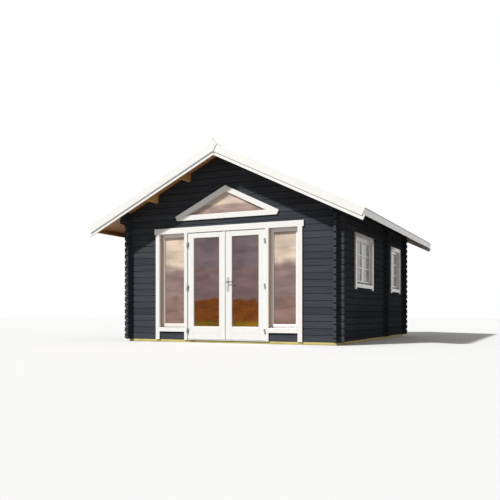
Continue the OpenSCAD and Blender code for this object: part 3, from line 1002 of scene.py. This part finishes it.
@dataclass(frozen=True)
class Treated:
    """Pressure-treated bearer, pale yellow green."""

    run: Run
    pine: PineGrain = PineGrain((0.66, 0.55, 0.20, 1), (0.42, 0.345, 0.105, 1),
                                (0.12, 0.09, 0.03, 1))
    stains: Noise = Noise((3.0, 3.0, 20.0))
    foot_dark_full: float = 0.008
    foot_dark_end: float = 0.03
    relief: float = 0.0008

    def make(self, datum: Datum) -> bpy.types.Material:
        """Write the material.

        Args:
            datum: Lengths of the cabin.

        Returns:
            The material.
        """
        g = FinishGraph(f"treated_{self.run.value}")
        x, y, z = g.coords()
        stain = g.noise(self.stains, x, y, z)
        wood, height = self.pine.paint(g, g.timber(self.run, datum), 0.5)
        # Darker towards the bottom of the bearer.
        foot_dark = g.ramp(z + stain * 0.02, self.foot_dark_full, self.foot_dark_end, 0.6, 1.0)
        return g.surface(Base_Color=g.tint(wood, foot_dark * (stain * 0.3 + 0.85)),
                         Roughness=stain * 0.2 + 0.6, Normal=g.bump(height, self.relief))


@dataclass(frozen=True)
class Rubber:
    """Black seal or dark strip."""

    name: str
    colour: Colour = (0.016, 0.016, 0.018, 1)
    rough: float = 0.5
    dust: Noise = Noise((30.0, 30.0, 30.0))
    relief: float = 0.0002

    def make(self, datum: Datum) -> bpy.types.Material:
        """Write the material.

        Args:
            datum: Lengths of the cabin; not used.

        Returns:
            The material.
        """
        g = FinishGraph(f"dark_{self.name}")
        dust = g.noise(self.dust, *g.coords())
        return g.surface(Base_Color=g.tint(self.colour, dust * 1.2 + 0.5), Roughness=dust * 0.25 + self.rough,
                         Normal=g.bump(dust, self.relief))


@dataclass
class Workshop:
    """Finishes, growth trees and the ways a piece joins the scene.

    Args:
        datum: Lengths of the cabin.
        growths: Trees that repeat shapes.
        made: Materials that are written.
        weld: Distance under which corners join before a bevel.
        flat_turn: Turn under which faces count as one flat face.
        sharp_turn: Turn from which an edge gets a bevel.
        screw_r: Radius of a screw head.
        screw_spread: Least and most size of a head, as shares.
        screw_head: Rings of a head, as shares of its radius and heights.
        screw_sides: Corners of a ring.
    """

    datum: Datum
    growths: Growths = field(default_factory=Growths)
    made: dict[Finish, bpy.types.Material] = field(default_factory=dict)
    weld: float = 1e-5
    flat_turn: float = math.radians(0.5)
    sharp_turn: float = math.radians(35)
    screw_r: float = 0.004
    screw_spread: tuple[float, float] = (0.94, 1.06)
    screw_head: tuple[tuple[float, float], ...] = (
        (1.0, -0.0008), (1.0, 0.0005), (0.72, 0.0012), (0.3, 0.0007))
    screw_sides: int = 10

    def finish(self, kind: Finish) -> bpy.types.Material:
        """Material of a finish, written once.

        Args:
            kind: Finish.

        Returns:
            Its material.
        """
        if kind not in self.made:
            self.made[kind] = kind.make(self.datum)
        return self.made[kind]

    def dress(self, kind: Finish, *nodes: str, edge: Edge = Edge.CRISP) -> None:
        """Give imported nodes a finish.

        Args:
            kind: Finish.
            *nodes: Names of the nodes.
            edge: Bevel on their sharp edges.
        """
        for name in nodes:
            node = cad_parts[name]
            node.data.materials.clear()
            node.data.materials.append(self.finish(kind))
            if edge is not Edge.CRISP:
                weld = node.modifiers.new("weld", "WELD")
                weld.merge_threshold = self.weld
                flat = node.modifiers.new("flat", "DECIMATE")
                flat.decimate_type, flat.angle_limit = "DISSOLVE", self.flat_turn
                bevel = node.modifiers.new("soften", "BEVEL")
                bevel.width, bevel.segments = edge.value, 2
                bevel.limit_method, bevel.angle_limit = "ANGLE", self.sharp_turn
            LOG.info("dressed %s", name)

    def piece(self, mesh: bpy.types.Mesh, kind: Finish, slot: str, body: str = ROOT_BODY,
              replaces: tuple[str, ...] = ()) -> None:
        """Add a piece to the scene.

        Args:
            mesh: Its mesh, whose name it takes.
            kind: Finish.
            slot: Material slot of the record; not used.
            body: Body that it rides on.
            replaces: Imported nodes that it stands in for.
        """
        mesh.materials.clear()
        mesh.materials.append(self.finish(kind))
        made = place_object(mesh.name, mesh)
        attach(made, body)
        if replaces:
            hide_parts(*replaces)
        LOG.info("made %s, %d faces", made.name, len(mesh.polygons))

    def rows(self, name: str, draft: Draft, kind: Finish, **inputs: Any) -> bpy.types.Mesh:
        """Repeat a drawn shape in rows.

        Args:
            name: Name of the mesh.
            draft: Shape at the first place.
            kind: Finish.
            **inputs: Inputs of the rows tree.

        Returns:
            The grown mesh.
        """
        first = place_object(f"{name}_first", draft.mesh(f"{name}_first"))
        grown = self.growths.rows.grow(name, Piece=first, Material=self.finish(kind), **inputs)
        bpy.data.objects.remove(first)
        return grown

    def fixings(self, name: str, points: list[Vector], axis: Vector, kind: Finish) -> bpy.types.Mesh:
        """Put screw heads on points.

        Args:
            name: Name of the mesh.
            points: Where the heads are.
            axis: Way out of the surface.
            kind: Finish.

        Returns:
            The grown mesh.
        """
        profile = [(self.screw_r * share, height) for share, height in self.screw_head]
        turned = Draft().turned(axis, profile, self.screw_sides)
        head = place_object(f"{name}_head", turned.mesh(f"{name}_head"))
        places = bpy.data.meshes.new(f"{name}_points")
        places.from_pydata([tuple(point) for point in points], [], [])
        least, most = self.screw_spread
        grown = self.growths.fixings.grow(name, places, Head=head, Seed=SEED, Least=least, Most=most,
                                          Material=self.finish(kind))
        bpy.data.objects.remove(head)
        return grown


def solids(node: str) -> list[Box]:
    """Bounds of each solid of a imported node.

    Args:
        node: Name of the node.

    Returns:
        One box for each solid, by their lowest corners.
    """
    bm = bmesh.new()
    bm.from_mesh(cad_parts[node].data)
    bmesh.ops.remove_doubles(bm, verts=bm.verts, dist=SAME_POINT)
    left, boxes = set(bm.verts), []
    while left:
        todo, low, high = [left.pop()], Vector((math.inf,) * 3), Vector((-math.inf,) * 3)
        while todo:
            vert = todo.pop()
            low, high = Vector(map(min, low, vert.co)), Vector(map(max, high, vert.co))
            fresh = {edge.other_vert(vert) for edge in vert.link_edges} & left
            left -= fresh
            todo += fresh
        boxes.append(Box(low, high))
    bm.free()
    return sorted(boxes, key=lambda box: tuple(round(c, 4) for c in box.low))


def pane_loop(pane: Box, face: Face) -> list[Vector]:
    """Corners of a pane's outer side, anticlockwise from outside.

    Args:
        pane: Bounds of the pane.
        face: Way that the pane faces.

    Returns:
        Four corners.
    """
    half = abs(pane.size.dot(face.level)) / 2
    middle = pane.middle + face.normal * abs(pane.size.dot(face.normal)) / 2
    level, rise = face.level * half, Vector((0, 0, pane.size.z / 2))
    return [middle - level - rise, middle + level - rise, middle + level + rise, middle - level + rise]


STEEL = Metal("steel", (0.50, 0.50, 0.49, 1), 0.26)
DARK_STEEL = Metal("dark_steel", (0.31, 0.31, 0.305, 1), 0.30)
THRESHOLD = Metal("threshold", (0.50, 0.50, 0.49, 1), 0.34, Run.X)
LEVER = Metal("lever", (0.055, 0.055, 0.055, 1), 0.34, Run.X)
# Blue-black metal of the rain strips under the side sashes: a real strip whose colour is painted shade and
# painted sky reflection.
DRIP_PAINTED_SHADE = Metal("drip", (0.045, 0.062, 0.078, 1), 0.30, Run.Y, 0.7)
SEAL = Rubber("seal", (0.115, 0.042, 0.018, 1))
TRIM_Z = WhitePaint("upright", Run.Z)
TRIM_X = WhitePaint("level_x", Run.X)
TRIM_Y = WhitePaint("level_y", Run.Y)
TRIM_SLOPE = WhitePaint("slope", Run.SLOPE)


@dataclass
class GroundFrame:
    """Bearers on the ground."""

    shop: Workshop

    def build(self) -> None:
        """Dress the bearers."""
        self.shop.dress(Treated(Run.Y), "foundation_side_beams", edge=Edge.SAWN)
        self.shop.dress(Treated(Run.X), "foundation_cross_beams", edge=Edge.SAWN)


@dataclass
class Floor:
    """Floor boards in both rooms and across the way between them."""

    shop: Workshop
    board_w: float = 0.116
    groove: float = 0.002
    seam: float = 0.0004
    pine: PineGrain = PineGrain((0.62, 0.42, 0.22, 1), (0.44, 0.25, 0.10, 1))

    def build(self) -> None:
        """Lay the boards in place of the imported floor."""
        kind = BarePine("floor", Run.Y, self.board_w, Run.X, self.pine)
        front, rear = solids("floor_boards")
        gap = front.low.y - self.shop.datum.y_front - self.shop.datum.log_t
        post = -solids("front_base_logs")[0].high.x + gap
        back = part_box("partition_upper_logs")[0].y - gap
        left, right = solids("partition_side_logs")
        low = Vector((left.high.x + gap, back, front.low.z))
        high = Vector((right.low.x - gap, *front.high.yz))
        boards = Draft().block(low, high, self.groove)
        door_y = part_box("front_frame_head")[1].y + gap
        for x0, x1, y0, y1 in ((front.low.x, -post, front.low.y, back), (-post, post, door_y, back),
                               (post, front.high.x, front.low.y, back),
                               (rear.low.x, rear.high.x, rear.low.y, rear.high.y)):
            boards.join(self._boards(x0, x1, y0, y1, front, kind))
        self.shop.piece(boards.mesh("floor_planks"), kind, "floor_pine", replaces=("floor_boards",))

    def _boards(self, x0: float, x1: float, y0: float, y1: float, floor: Box,
                kind: BarePine) -> bpy.types.Mesh:
        """Boards side by side over a rectangle.

        Args:
            x0: Left edge.
            x1: Right edge.
            y0: Near end.
            y1: Far end.
            floor: Box whose underside and top the boards keep to.
            kind: Finish.

        Returns:
            The mesh.
        """
        count = round((x1 - x0) / self.board_w)
        step, c = (x1 - x0) / count, self.groove
        w, low, top = step - self.seam, floor.low.z, floor.high.z
        section = [(0, low), (w, low), (w, top - c), (w - c, top), (c, top), (0, top - c)]
        rings = [[Vector((x0 + x, y, z)) for x, z in section] for y in (y0, y1)]
        return self.shop.rows("floor_run", Draft().loft(rings), kind, Count=count,
                              Step=(step, 0.0, 0.0), Rows=1)


@dataclass
class LogWalls:
    """Stained logs of the walls, the gables and the partition."""

    shop: Workshop

    def build(self) -> None:
        """Dress the logs by the way that they run."""
        self.shop.dress(StainedLog(Run.X, 0.0), "front_base_logs", "front_left_logs", "front_right_logs",
                        "front_lintel_logs", "front_gable_side_logs", "front_gable_peak_logs",
                        "rear_wall_logs", "rear_gable_logs", "partition_side_logs", "partition_upper_logs")
        self.shop.dress(StainedLog(Run.Y, 0.5), "left_wall_logs", "right_lower_logs", "right_window_logs",
                        "right_upper_logs", "eave_logs")


@dataclass
class Roof:
    """Roof boards, purlins, felt shingles and ridge caps."""

    shop: Workshop
    board_count: int = 63
    groove: float = 0.004
    seam: float = 0.0003
    lift: float = 0.0002
    rows: int = 20
    tabs: int = 17
    tab_t: float = 0.0028
    tab_gap: float = 0.006
    tab_lap: float = 0.055
    tab_clip: float = 0.012
    top_gap: float = 0.06
    caps: int = 27
    cap_half: float = 0.118
    cap_lap: float = 0.05
    cap_inset: float = 0.004
    purlin_lot: float = 0.3
    board_pine: PineGrain = PineGrain((0.72, 0.36, 0.115, 1), (0.44, 0.17, 0.042, 1))
    purlin_pine: PineGrain = PineGrain((0.94, 0.56, 0.21, 1), (0.74, 0.38, 0.12, 1))

    def build(self) -> None:
        """Lay boards, shingles and caps and dress the purlins."""
        d = self.shop.datum
        run = d.deck_rear - d.deck_front
        butt = d.deck_len + d.board_t
        felt = Shingle(d.deck_front, butt, run / (self.tabs + 0.5), (butt - self.top_gap) / self.rows)
        boards = BarePine("roof", Run.SLOPE, run / self.board_count, Run.Y, self.board_pine)
        purlins = BarePine("purlin", Run.Y, self.purlin_lot, Run.X, self.purlin_pine)
        self.shop.dress(purlins, "roof_purlins", edge=Edge.SAWN)
        self.shop.dress(felt, "left_roof_felt", "right_roof_felt", "ridge_felt")
        for side, name in ((-1, "left"), (1, "right")):
            self.shop.piece(self._boards(side, f"{name}_deck_boards", boards), boards, "roof_pine",
                            replaces=(f"{name}_roof_boards",))
            self.shop.piece(self._tabs(side, f"{name}_shingles", felt), felt, "felt")
        self.shop.piece(self._caps(felt), felt, "felt")

    def _boards(self, side: int, name: str, kind: BarePine) -> bpy.types.Mesh:
        """Boards of one slope, with grooves on the underside.

        Args:
            side: 1 for the right slope and -1 for the left one.
            name: Name of the mesh.
            kind: Finish.

        Returns:
            The mesh.
        """
        d, c, w, lift = self.shop.datum, self.groove, kind.board_w - self.seam, self.lift
        section = [(c, lift), (w - c, lift), (w, c), (w, d.deck_t), (0.0, d.deck_t), (0.0, c)]
        ridge = [d.slope(side, lift - p * math.tan(d.pitch), p, d.deck_front + y) for y, p in section]
        eave = [d.slope(side, d.deck_len, p, d.deck_front + y) for y, p in section]
        return self.shop.rows(name, Draft().loft([ridge, eave]), kind, Count=self.board_count,
                              Step=(0.0, kind.board_w, 0.0), Rows=1)

    def _tabs(self, side: int, name: str, felt: Shingle) -> bpy.types.Mesh:
        """Shingle tabs of one slope, every second row half a tab along.

        Args:
            side: 1 for the right slope and -1 for the left one.
            name: Name of the mesh.
            felt: Finish, with the size of a tab.

        Returns:
            The mesh.
        """
        d, t, clip, w = self.shop.datum, self.tab_t, self.tab_clip, felt.tab_w - self.tab_gap
        head = felt.butt - felt.show - self.tab_lap
        foot = [(0.0, clip), (clip, 0.0), (w - clip, 0.0), (w, clip)]
        rings = []
        for k in (0, 1):
            low = [d.slope(side, felt.butt - v, d.felt_top + t * (k + 1), felt.start + u) for u, v in foot]
            high = [d.slope(side, head, d.felt_top + t * k + self.lift, felt.start + u) for u in (w, 0.0)]
            rings.append(low + high)
        draft = Draft().loft(rings)
        step = d.slope(side, -felt.show, 0.0, 0.0) - d.slope(side, 0.0, 0.0, 0.0)
        return self.shop.rows(name, draft, felt, Count=self.tabs, Step=(0.0, felt.tab_w, 0.0), Rows=self.rows,
                              Row_Step=tuple(step), Stagger=(0.0, felt.tab_w / 2, 0.0))

    def _caps(self, felt: Shingle) -> bpy.types.Mesh:
        """Folded caps along the ridge, each lapping the one behind it.

        Args:
            felt: Finish.

        Returns:
            The mesh.
        """
        d, t = self.shop.datum, self.tab_t
        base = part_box("ridge_felt")[1].z
        top = (base - d.ridge_z) * math.cos(d.pitch)
        step = (d.deck_rear - d.deck_front) / self.caps
        rings = []
        for y, lift in ((self.cap_inset, 1.0), (step + self.cap_lap, 0.0)):
            places = [(-1, self.cap_half), (1, -(top + t * lift) * math.tan(d.pitch)), (1, self.cap_half)]
            under = [d.slope(side, s, top + t * lift, d.deck_front + y) for side, s in places]
            over = [d.slope(side, s, top + t * (lift + 1), d.deck_front + y) for side, s in places]
            under[1].x = over[1].x = 0.0
            rings.append(under + over[::-1])
        return self.shop.rows("ridge_caps", Draft().loft(rings), felt, Count=self.caps - 1,
                              Step=(0.0, step, 0.0), Rows=1)


@dataclass
class GableBoards:
    """White boards along the edges of the roof."""

    shop: Workshop
    screw_step: float = 0.42
    screw_start: float = 0.22
    screw_end: float = 0.3
    screw_rows: tuple[float, float] = (-0.008, -0.075)

    def build(self) -> None:
        """Dress the boards and put screws in them."""
        self.shop.dress(TRIM_SLOPE, "upper_bargeboards", "lower_bargeboards", edge=Edge.EASED)
        self.shop.dress(TRIM_Z, "gable_kites", edge=Edge.EASED)
        self.shop.dress(WhitePaint("fascia", Run.Y, Bare.UNDER_EAVE), "eave_fascias", edge=Edge.EASED)
        d = self.shop.datum
        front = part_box("upper_bargeboards")[0].y
        points = []
        for side in (-1, 1):
            for i in range(int((d.deck_len - self.screw_end) / self.screw_step) + 1):
                s = self.screw_start + i * self.screw_step
                points += [d.slope(side, s, p, front) for p in self.screw_rows]
        screws = self.shop.fixings("bargeboard_screws", points, Face.FRONT.normal, TRIM_SLOPE)
        self.shop.piece(screws, TRIM_SLOPE, "white_paint")


@dataclass
class Glass:
    """Beads and seals round panes."""

    shop: Workshop
    bead_w: float = 0.007
    bead_out: float = 0.012
    bead_gap: float = 0.0004
    bead_round: tuple[tuple[float, float], ...] = ((1.0, 0.35), (0.72, 0.75), (0.3, 1.0), (0.0, 1.0))
    seal_w: float = 0.004
    seal_edge: float = 0.0016
    seal_top: float = 0.003

    def trim(self, name: str, loops: list[list[Vector]], face: Face, body: str) -> None:
        """Put a bead and a seal round each loop.

        Args:
            name: Start of the pieces' names.
            loops: Loops of the panes' outer sides.
            face: Way that they face.
            body: Body that the pieces ride on.
        """
        w, h, gap, reach = self.bead_w, self.bead_out, self.bead_gap, self.bead_w + self.seal_w
        bead = [(0.0, gap), (w, gap), *((w * u, h * v) for u, v in self.bead_round)]
        seal = [(w / 2, 0.0), (reach, 0.0), (reach, self.seal_edge), (w / 2, self.seal_top)]
        beads, seals = Draft(), Draft()
        for loop in loops:
            beads.moulding(loop, face.normal, bead)
            seals.moulding(loop, face.normal, seal)
        self.shop.piece(beads.mesh(f"{name}_beads"), TRIM_Z, "white_paint", body)
        self.shop.piece(seals.mesh(f"{name}_seals"), SEAL, "felt", body)


@dataclass
class FrontJoinery:
    """Casings, posts and side lights round the doors."""

    shop: Workshop
    frame_paint: float = 0.02
    sill_paint: float = 0.05
    sash_paint: float = 0.085
    screw_step: float = 0.36

    def build(self) -> None:
        """Dress the joinery and add beads, seals and screws."""
        dress, beside, behind = self.shop.dress, Bare.BESIDE_DOORS, Bare.BEHIND_FRONT
        dress(TRIM_X, "front_head_casing", edge=Edge.EASED)
        dress(TRIM_Z, "front_side_casings", edge=Edge.EASED)
        dress(WhitePaint("post", Run.Z, beside, self.frame_paint), "front_frame_posts", edge=Edge.PLANED)
        dress(WhitePaint("head", Run.X, beside, self.frame_paint), "front_frame_head", edge=Edge.PLANED)
        dress(WhitePaint("sill", Run.X, behind, self.sill_paint), "sidelight_sills", edge=Edge.PLANED)
        dress(WhitePaint("front_sash", Run.Z, behind, self.sash_paint), "sidelight_sashes", edge=Edge.SAWN)
        dress(THRESHOLD, "door_threshold", edge=Edge.FINE)
        panes = solids("sidelight_glass")
        dress(Glazing("sidelight", panes[0].low.z, panes[0].high.z, LIGHT_TINT_AND_REFLECTION), "sidelight_glass")
        Glass(self.shop).trim("sidelight", [pane_loop(p, Face.FRONT) for p in panes], Face.FRONT, ROOT_BODY)
        points = []
        for box in solids("front_side_casings"):
            count = max(2, round(box.size.z / self.screw_step))
            points += [Vector((box.middle.x, box.low.y, box.low.z + box.size.z * (i + 0.5) / count))
                       for i in range(count)]
        screws = self.shop.fixings("casing_screws", points, Face.FRONT.normal, TRIM_Z)
        self.shop.piece(screws, TRIM_Z, "white_paint")


@dataclass
class GableWindow:
    """Three-cornered window in the front gable."""

    shop: Workshop
    frame_paint: float = 0.03

    def build(self) -> None:
        """Dress the window and add its bead and seal."""
        paint = WhitePaint("gable_frame", Run.X, Bare.BEHIND_FRONT, self.frame_paint)
        self.shop.dress(TRIM_SLOPE, "gable_window_casing", edge=Edge.EASED)
        self.shop.dress(paint, "gable_window_frame", edge=Edge.PLANED)
        low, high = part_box("gable_window_glass")
        self.shop.dress(Glazing("gable", low.z, high.z, GABLE_TINT_AND_REFLECTION), "gable_window_glass")
        loop = [Vector((x, low.y, z)) for x, z in ((low.x, low.z), (high.x, low.z), (0.0, high.z))]
        Glass(self.shop).trim("gable_window", [loop], Face.FRONT, ROOT_BODY)


@dataclass
class SideWindows:
    """Windows of the right wall, with bars across each pane."""

    shop: Workshop
    bars: int = 2
    bar_w: float = 0.026
    bar_out: float = 0.014
    bar_gap: float = 0.0005
    bar_inset: float = 0.004
    bar_bevel: float = 0.004
    drip_foot: float = 0.001
    drip_nose: float = 0.010
    drip_h: float = 0.030
    drip_out: float = 0.018
    drip_top: float = 0.004
    jamb_t: float = 0.0305
    paint: float = 0.085
    shine: float = 0.9

    def build(self) -> None:
        """Dress the windows and add bars, beads, seals and dark rain strips, whose blue-black colour is
        painted shade and sky reflection of the slot under each sash.
        """
        dress, behind = self.shop.dress, Bare.BEHIND_SIDE
        dress(TRIM_Z, "side_window_casings", edge=Edge.EASED)
        dress(WhitePaint("window_frame", Run.Z, behind, self.paint), "side_window_frames", edge=Edge.PLANED)
        dress(WhitePaint("side_sash", Run.Z, behind, self.paint), "side_window_sashes", edge=Edge.SAWN)
        panes = solids("side_window_glass")
        low, high = panes[0].low.z, panes[0].high.z
        dress(Glazing("side", low, high, SIDE_TINT_AND_REFLECTION, shine=self.shine), "side_window_glass")
        Glass(self.shop).trim("side_window", [pane_loop(p, Face.SIDE) for p in panes], Face.SIDE, ROOT_BODY)
        self._bars(panes)
        self._drips()

    def _bars(self, panes: list[Box]) -> None:
        """Lay bars across the panes.

        Args:
            panes: Bounds of the panes.
        """
        bars, half, inset = Draft(), self.bar_w / 2, self.bar_inset
        for pane in panes:
            for i in range(self.bars):
                z = pane.low.z + pane.size.z * (i + 1) / (self.bars + 1)
                low = Vector((pane.high.x + self.bar_gap, pane.low.y + inset, z - half))
                high = Vector((pane.high.x + self.bar_out, pane.high.y - inset, z + half))
                bars.block(low, high, self.bar_bevel)
        self.shop.piece(bars.mesh("side_window_bars"), TRIM_Y, "white_paint")

    def _drips(self) -> None:
        """Put a dark rain strip at the foot of each window; it is a real strip, and its blue-black colour is
        painted shade and sky reflection.
        """
        painted_shade_drips, out, high = Draft(), self.drip_out, self.drip_h
        sash = solids("side_window_sashes")[0]
        section = [(0.0, self.drip_foot), (out, self.drip_foot), (out, self.drip_nose),
                   (self.drip_top, high), (0.0, high)]
        for opening in solids("side_window_frames"):
            painted_shade_drips.loft([[Vector((sash.high.x + x, y, sash.low.z + z)) for x, z in section]
                        for y in (opening.low.y + self.jamb_t, opening.high.y - self.jamb_t)])
        self.shop.piece(painted_shade_drips.mesh("side_window_drips"), DRIP_PAINTED_SHADE, "steel")


@dataclass
class Doors:
    """Glazed leaves with their hinges, plates and lever."""

    shop: Workshop
    shine: float = 0.15
    rail_seam: float = 0.52
    lock_drop: float = 0.086
    lock_r: float = 0.0085
    lock_h: float = 0.033
    lock_out: float = 0.003
    lock_seat: float = 0.001
    lock_neck: float = 0.58
    lock_rim: tuple[float, float] = (0.9, 0.7)
    arc_steps: int = 14
    foot_steps: int = 6
    slot: Vector = field(default_factory=lambda: Vector((0.0007, 0.0004, 0.0045)))
    slot_bevel: float = 0.0002
    screw_inset: float = 0.013

    def build(self) -> None:
        """Dress both leaves and their fittings."""
        dress = self.shop.dress
        for name in ("left_door", "right_door"):
            pane = solids(f"{name}_glass")[0]
            dress(self._paint(name, pane), f"{name}_leaf", edge=Edge.ROUND)
            dress(DARK_STEEL, f"{name}_hinges")
            dress(Glazing("door", pane.low.z, pane.high.z, DOOR_TINT_AND_REFLECTION, shine=self.shine), f"{name}_glass")
            Glass(self.shop).trim(name, [pane_loop(pane, Face.FRONT)], Face.FRONT, name)
        dress(DARK_STEEL, "frame_hinges")
        dress(STEEL, "door_handle_plates", edge=Edge.PLANED)
        dress(LEVER, "door_lever", edge=Edge.PLANED)
        self._lock()

    def _paint(self, name: str, pane: Box) -> WhitePaint:
        """Paint of a leaf, with hairlines where its rails meet its stiles.

        Args:
            name: Body of the leaf.
            pane: Bounds of its glass.

        Returns:
            The finish.
        """
        low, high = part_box(f"{name}_leaf")
        ends = [(low.z, pane.low.z), (pane.high.z, high.z)]
        seams = [Seam(Run.Z, x, z0, z1) for x in (pane.low.x, pane.high.x) for z0, z1 in ends]
        middle = low.z + (pane.low.z - low.z) * self.rail_seam
        return WhitePaint(name, Run.Z, seams=(*seams, Seam(Run.X, middle, pane.low.x, pane.high.x)))

    def _lock(self) -> None:
        """Put a lock cylinder, a black keyhole sheet of painted shade and two screws on each plate."""
        locks, keyhole_shades, screws = Draft(), Draft(), {}
        out, seat, inset, slot = self.lock_out, self.lock_seat, self.screw_inset, self.slot
        lever, outline = Box(*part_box("door_lever")), self._keyhole()
        z = lever.middle.z - self.lock_drop
        rim, rim_out = self.lock_rim
        plates = sorted(solids("door_handle_plates"), key=lambda box: box.low.y)
        for plate, way in zip(plates, (-1.0, 1.0)):
            x, face = plate.middle.x, plate.low.y if way < 0 else plate.high.y
            locks.loft([[Vector((x + u * k, face + way * y, z + v * k)) for u, v in outline]
                        for y, k in ((-seat, 1.0), (out * rim_out, 1.0), (out, rim))])
            # Black sheet over the keyhole: painted shade of the hole.
            keyhole_shades.block(Vector((x - slot.x, face + way * (out - seat), z - slot.z)),
                        Vector((x + slot.x, face + way * (out + slot.y), z + slot.z)), self.slot_bevel)
            ends = (plate.low.z + inset, plate.high.z - inset)
            screws[way] = [Vector((x, face, end)) for end in ends]
        for way, places in screws.items():
            locks.join(self.shop.fixings("plate_screws", places, Vector((0, way, 0)), STEEL))
        self.shop.piece(locks.mesh("door_lock"), STEEL, "steel", "right_door")
        # The keyhole sheet in black is painted shade.
        self.shop.piece(keyhole_shades.mesh("door_keyway"), Rubber("keyway"), "steel", "right_door")

    def _keyhole(self) -> Outline:
        """Outline of a lock cylinder: a round top on a narrower foot.

        Returns:
            Points round the middle of the round top.
        """
        r, w = self.lock_r, self.lock_r * self.lock_neck
        start = math.atan2(-math.sqrt(r * r - w * w), w)
        turns = [start + (math.pi - 2 * start) * i / self.arc_steps for i in range(self.arc_steps + 1)]
        arc = [(r * math.cos(t), r * math.sin(t)) for t in turns]
        foot = -(self.lock_h - r - w)
        turns = [math.pi * i / self.foot_steps for i in range(self.foot_steps + 1)]
        return arc + [(-w * math.cos(t), foot - w * math.sin(t)) for t in turns]


def direct_rays(g: Graph) -> Value:
    """1 for rays from the camera, straight or by way of gloss or glass.

    Args:
        g: Tree under way.

    Returns:
        The share.
    """
    rays = {ray.socket.name: ray for ray in g.outputs(g.node("ShaderNodeLightPath"))}
    return rays["Is Camera Ray"] + rays["Is Glossy Ray"] + rays["Is Transmission Ray"] > 0.5


@dataclass
class Studio:
    """Floor, light and camera."""

    eye: Vector = field(default_factory=lambda: Vector((5.207, -12.466, 0.525)))
    turn: float = math.radians(25.2)
    lens: float = 46.87
    rise: float = 0.126
    sensor: float = 36.0
    far: float = 300.0
    floor_half: float = 60.0
    floor_dim: Colour = (0.32, 0.32, 0.32, 1)
    floor_pale: Colour = (0.84, 0.84, 0.84, 1)
    sun_way: Vector = field(default_factory=lambda: Vector((0.62, 1.0, -1.037)))
    sun_energy: float = 3.92
    sun_angle: float = math.radians(3)
    sky: Colour = (1.0, 0.98, 0.95, 1)
    sky_strength: float = 0.31
    backdrop: Colour = (1, 1, 1, 1)

    def build(self) -> None:
        """Set up the floor, the lights, the world and the camera."""
        self._floor()
        self._light()
        self._world()
        self._camera()

    def _floor(self) -> None:
        """Lay a plain pale floor."""
        half = self.floor_half
        corners = [(-half, -half, 0), (half, -half, 0), (half, half, 0), (-half, half, 0)]
        mesh = bpy.data.meshes.new("studio_floor")
        mesh.from_pydata(corners, [], [(0, 1, 2, 3)])
        g = FinishGraph("studio_floor")
        tone = g.blend(direct_rays(g), self.floor_dim, self.floor_pale)
        mesh.materials.append(g.surface(Base_Color=tone, Roughness=0.9, Specular_IOR_Level=0.1))
        place_object("studio_floor", mesh)

    def _light(self) -> None:
        """Hang a sun in front, on the left."""
        lamp = bpy.data.lights.new("key", "SUN")
        lamp.energy, lamp.angle = self.sun_energy, self.sun_angle
        key = place_object("key", lamp)
        key.rotation_euler = self.sun_way.to_track_quat("-Z", "Y").to_euler()

    def _world(self) -> None:
        """Make a white background that lights the object more softly than it shows."""
        world = bpy.data.worlds.new("studio")
        bpy.context.scene.world = world
        world.use_nodes = True
        world.node_tree.nodes.clear()
        g = Graph(world.node_tree)
        shown = g.node("ShaderNodeBackground", {}, {"Color": self.backdrop, "Strength": 1.0})
        light = g.node("ShaderNodeBackground", {}, {"Color": self.sky, "Strength": self.sky_strength})
        mixed = g.node("ShaderNodeMixShader", {}, {0: direct_rays(g), 1: light, 2: shown})
        g.node("ShaderNodeOutputWorld", {}, {"Surface": mixed})

    def _camera(self) -> None:
        """Place the camera at the photo's viewing angle."""
        lens = bpy.data.cameras.new("camera")
        lens.lens, lens.sensor_width, lens.shift_y = self.lens, self.sensor, self.rise
        lens.clip_end = self.far
        camera = place_object("camera", lens)
        camera.location = self.eye
        camera.rotation_euler = (math.pi / 2, 0.0, self.turn)
        bpy.context.scene.camera = camera
        bpy.context.scene.view_settings.view_transform = "Standard"


def main() -> None:
    """Build every sub-assembly, then the studio."""
    logging.basicConfig(level=logging.INFO, format="%(name)s: %(message)s")
    shop = Workshop(Datum.read())
    for assembly in (GroundFrame, Floor, LogWalls, Roof, GableBoards, FrontJoinery, GableWindow, SideWindows,
                     Doors):
        assembly(shop).build()
        LOG.info("finished %s", assembly.__name__)
    Studio().build()


if __name__ == "__main__":
    main()
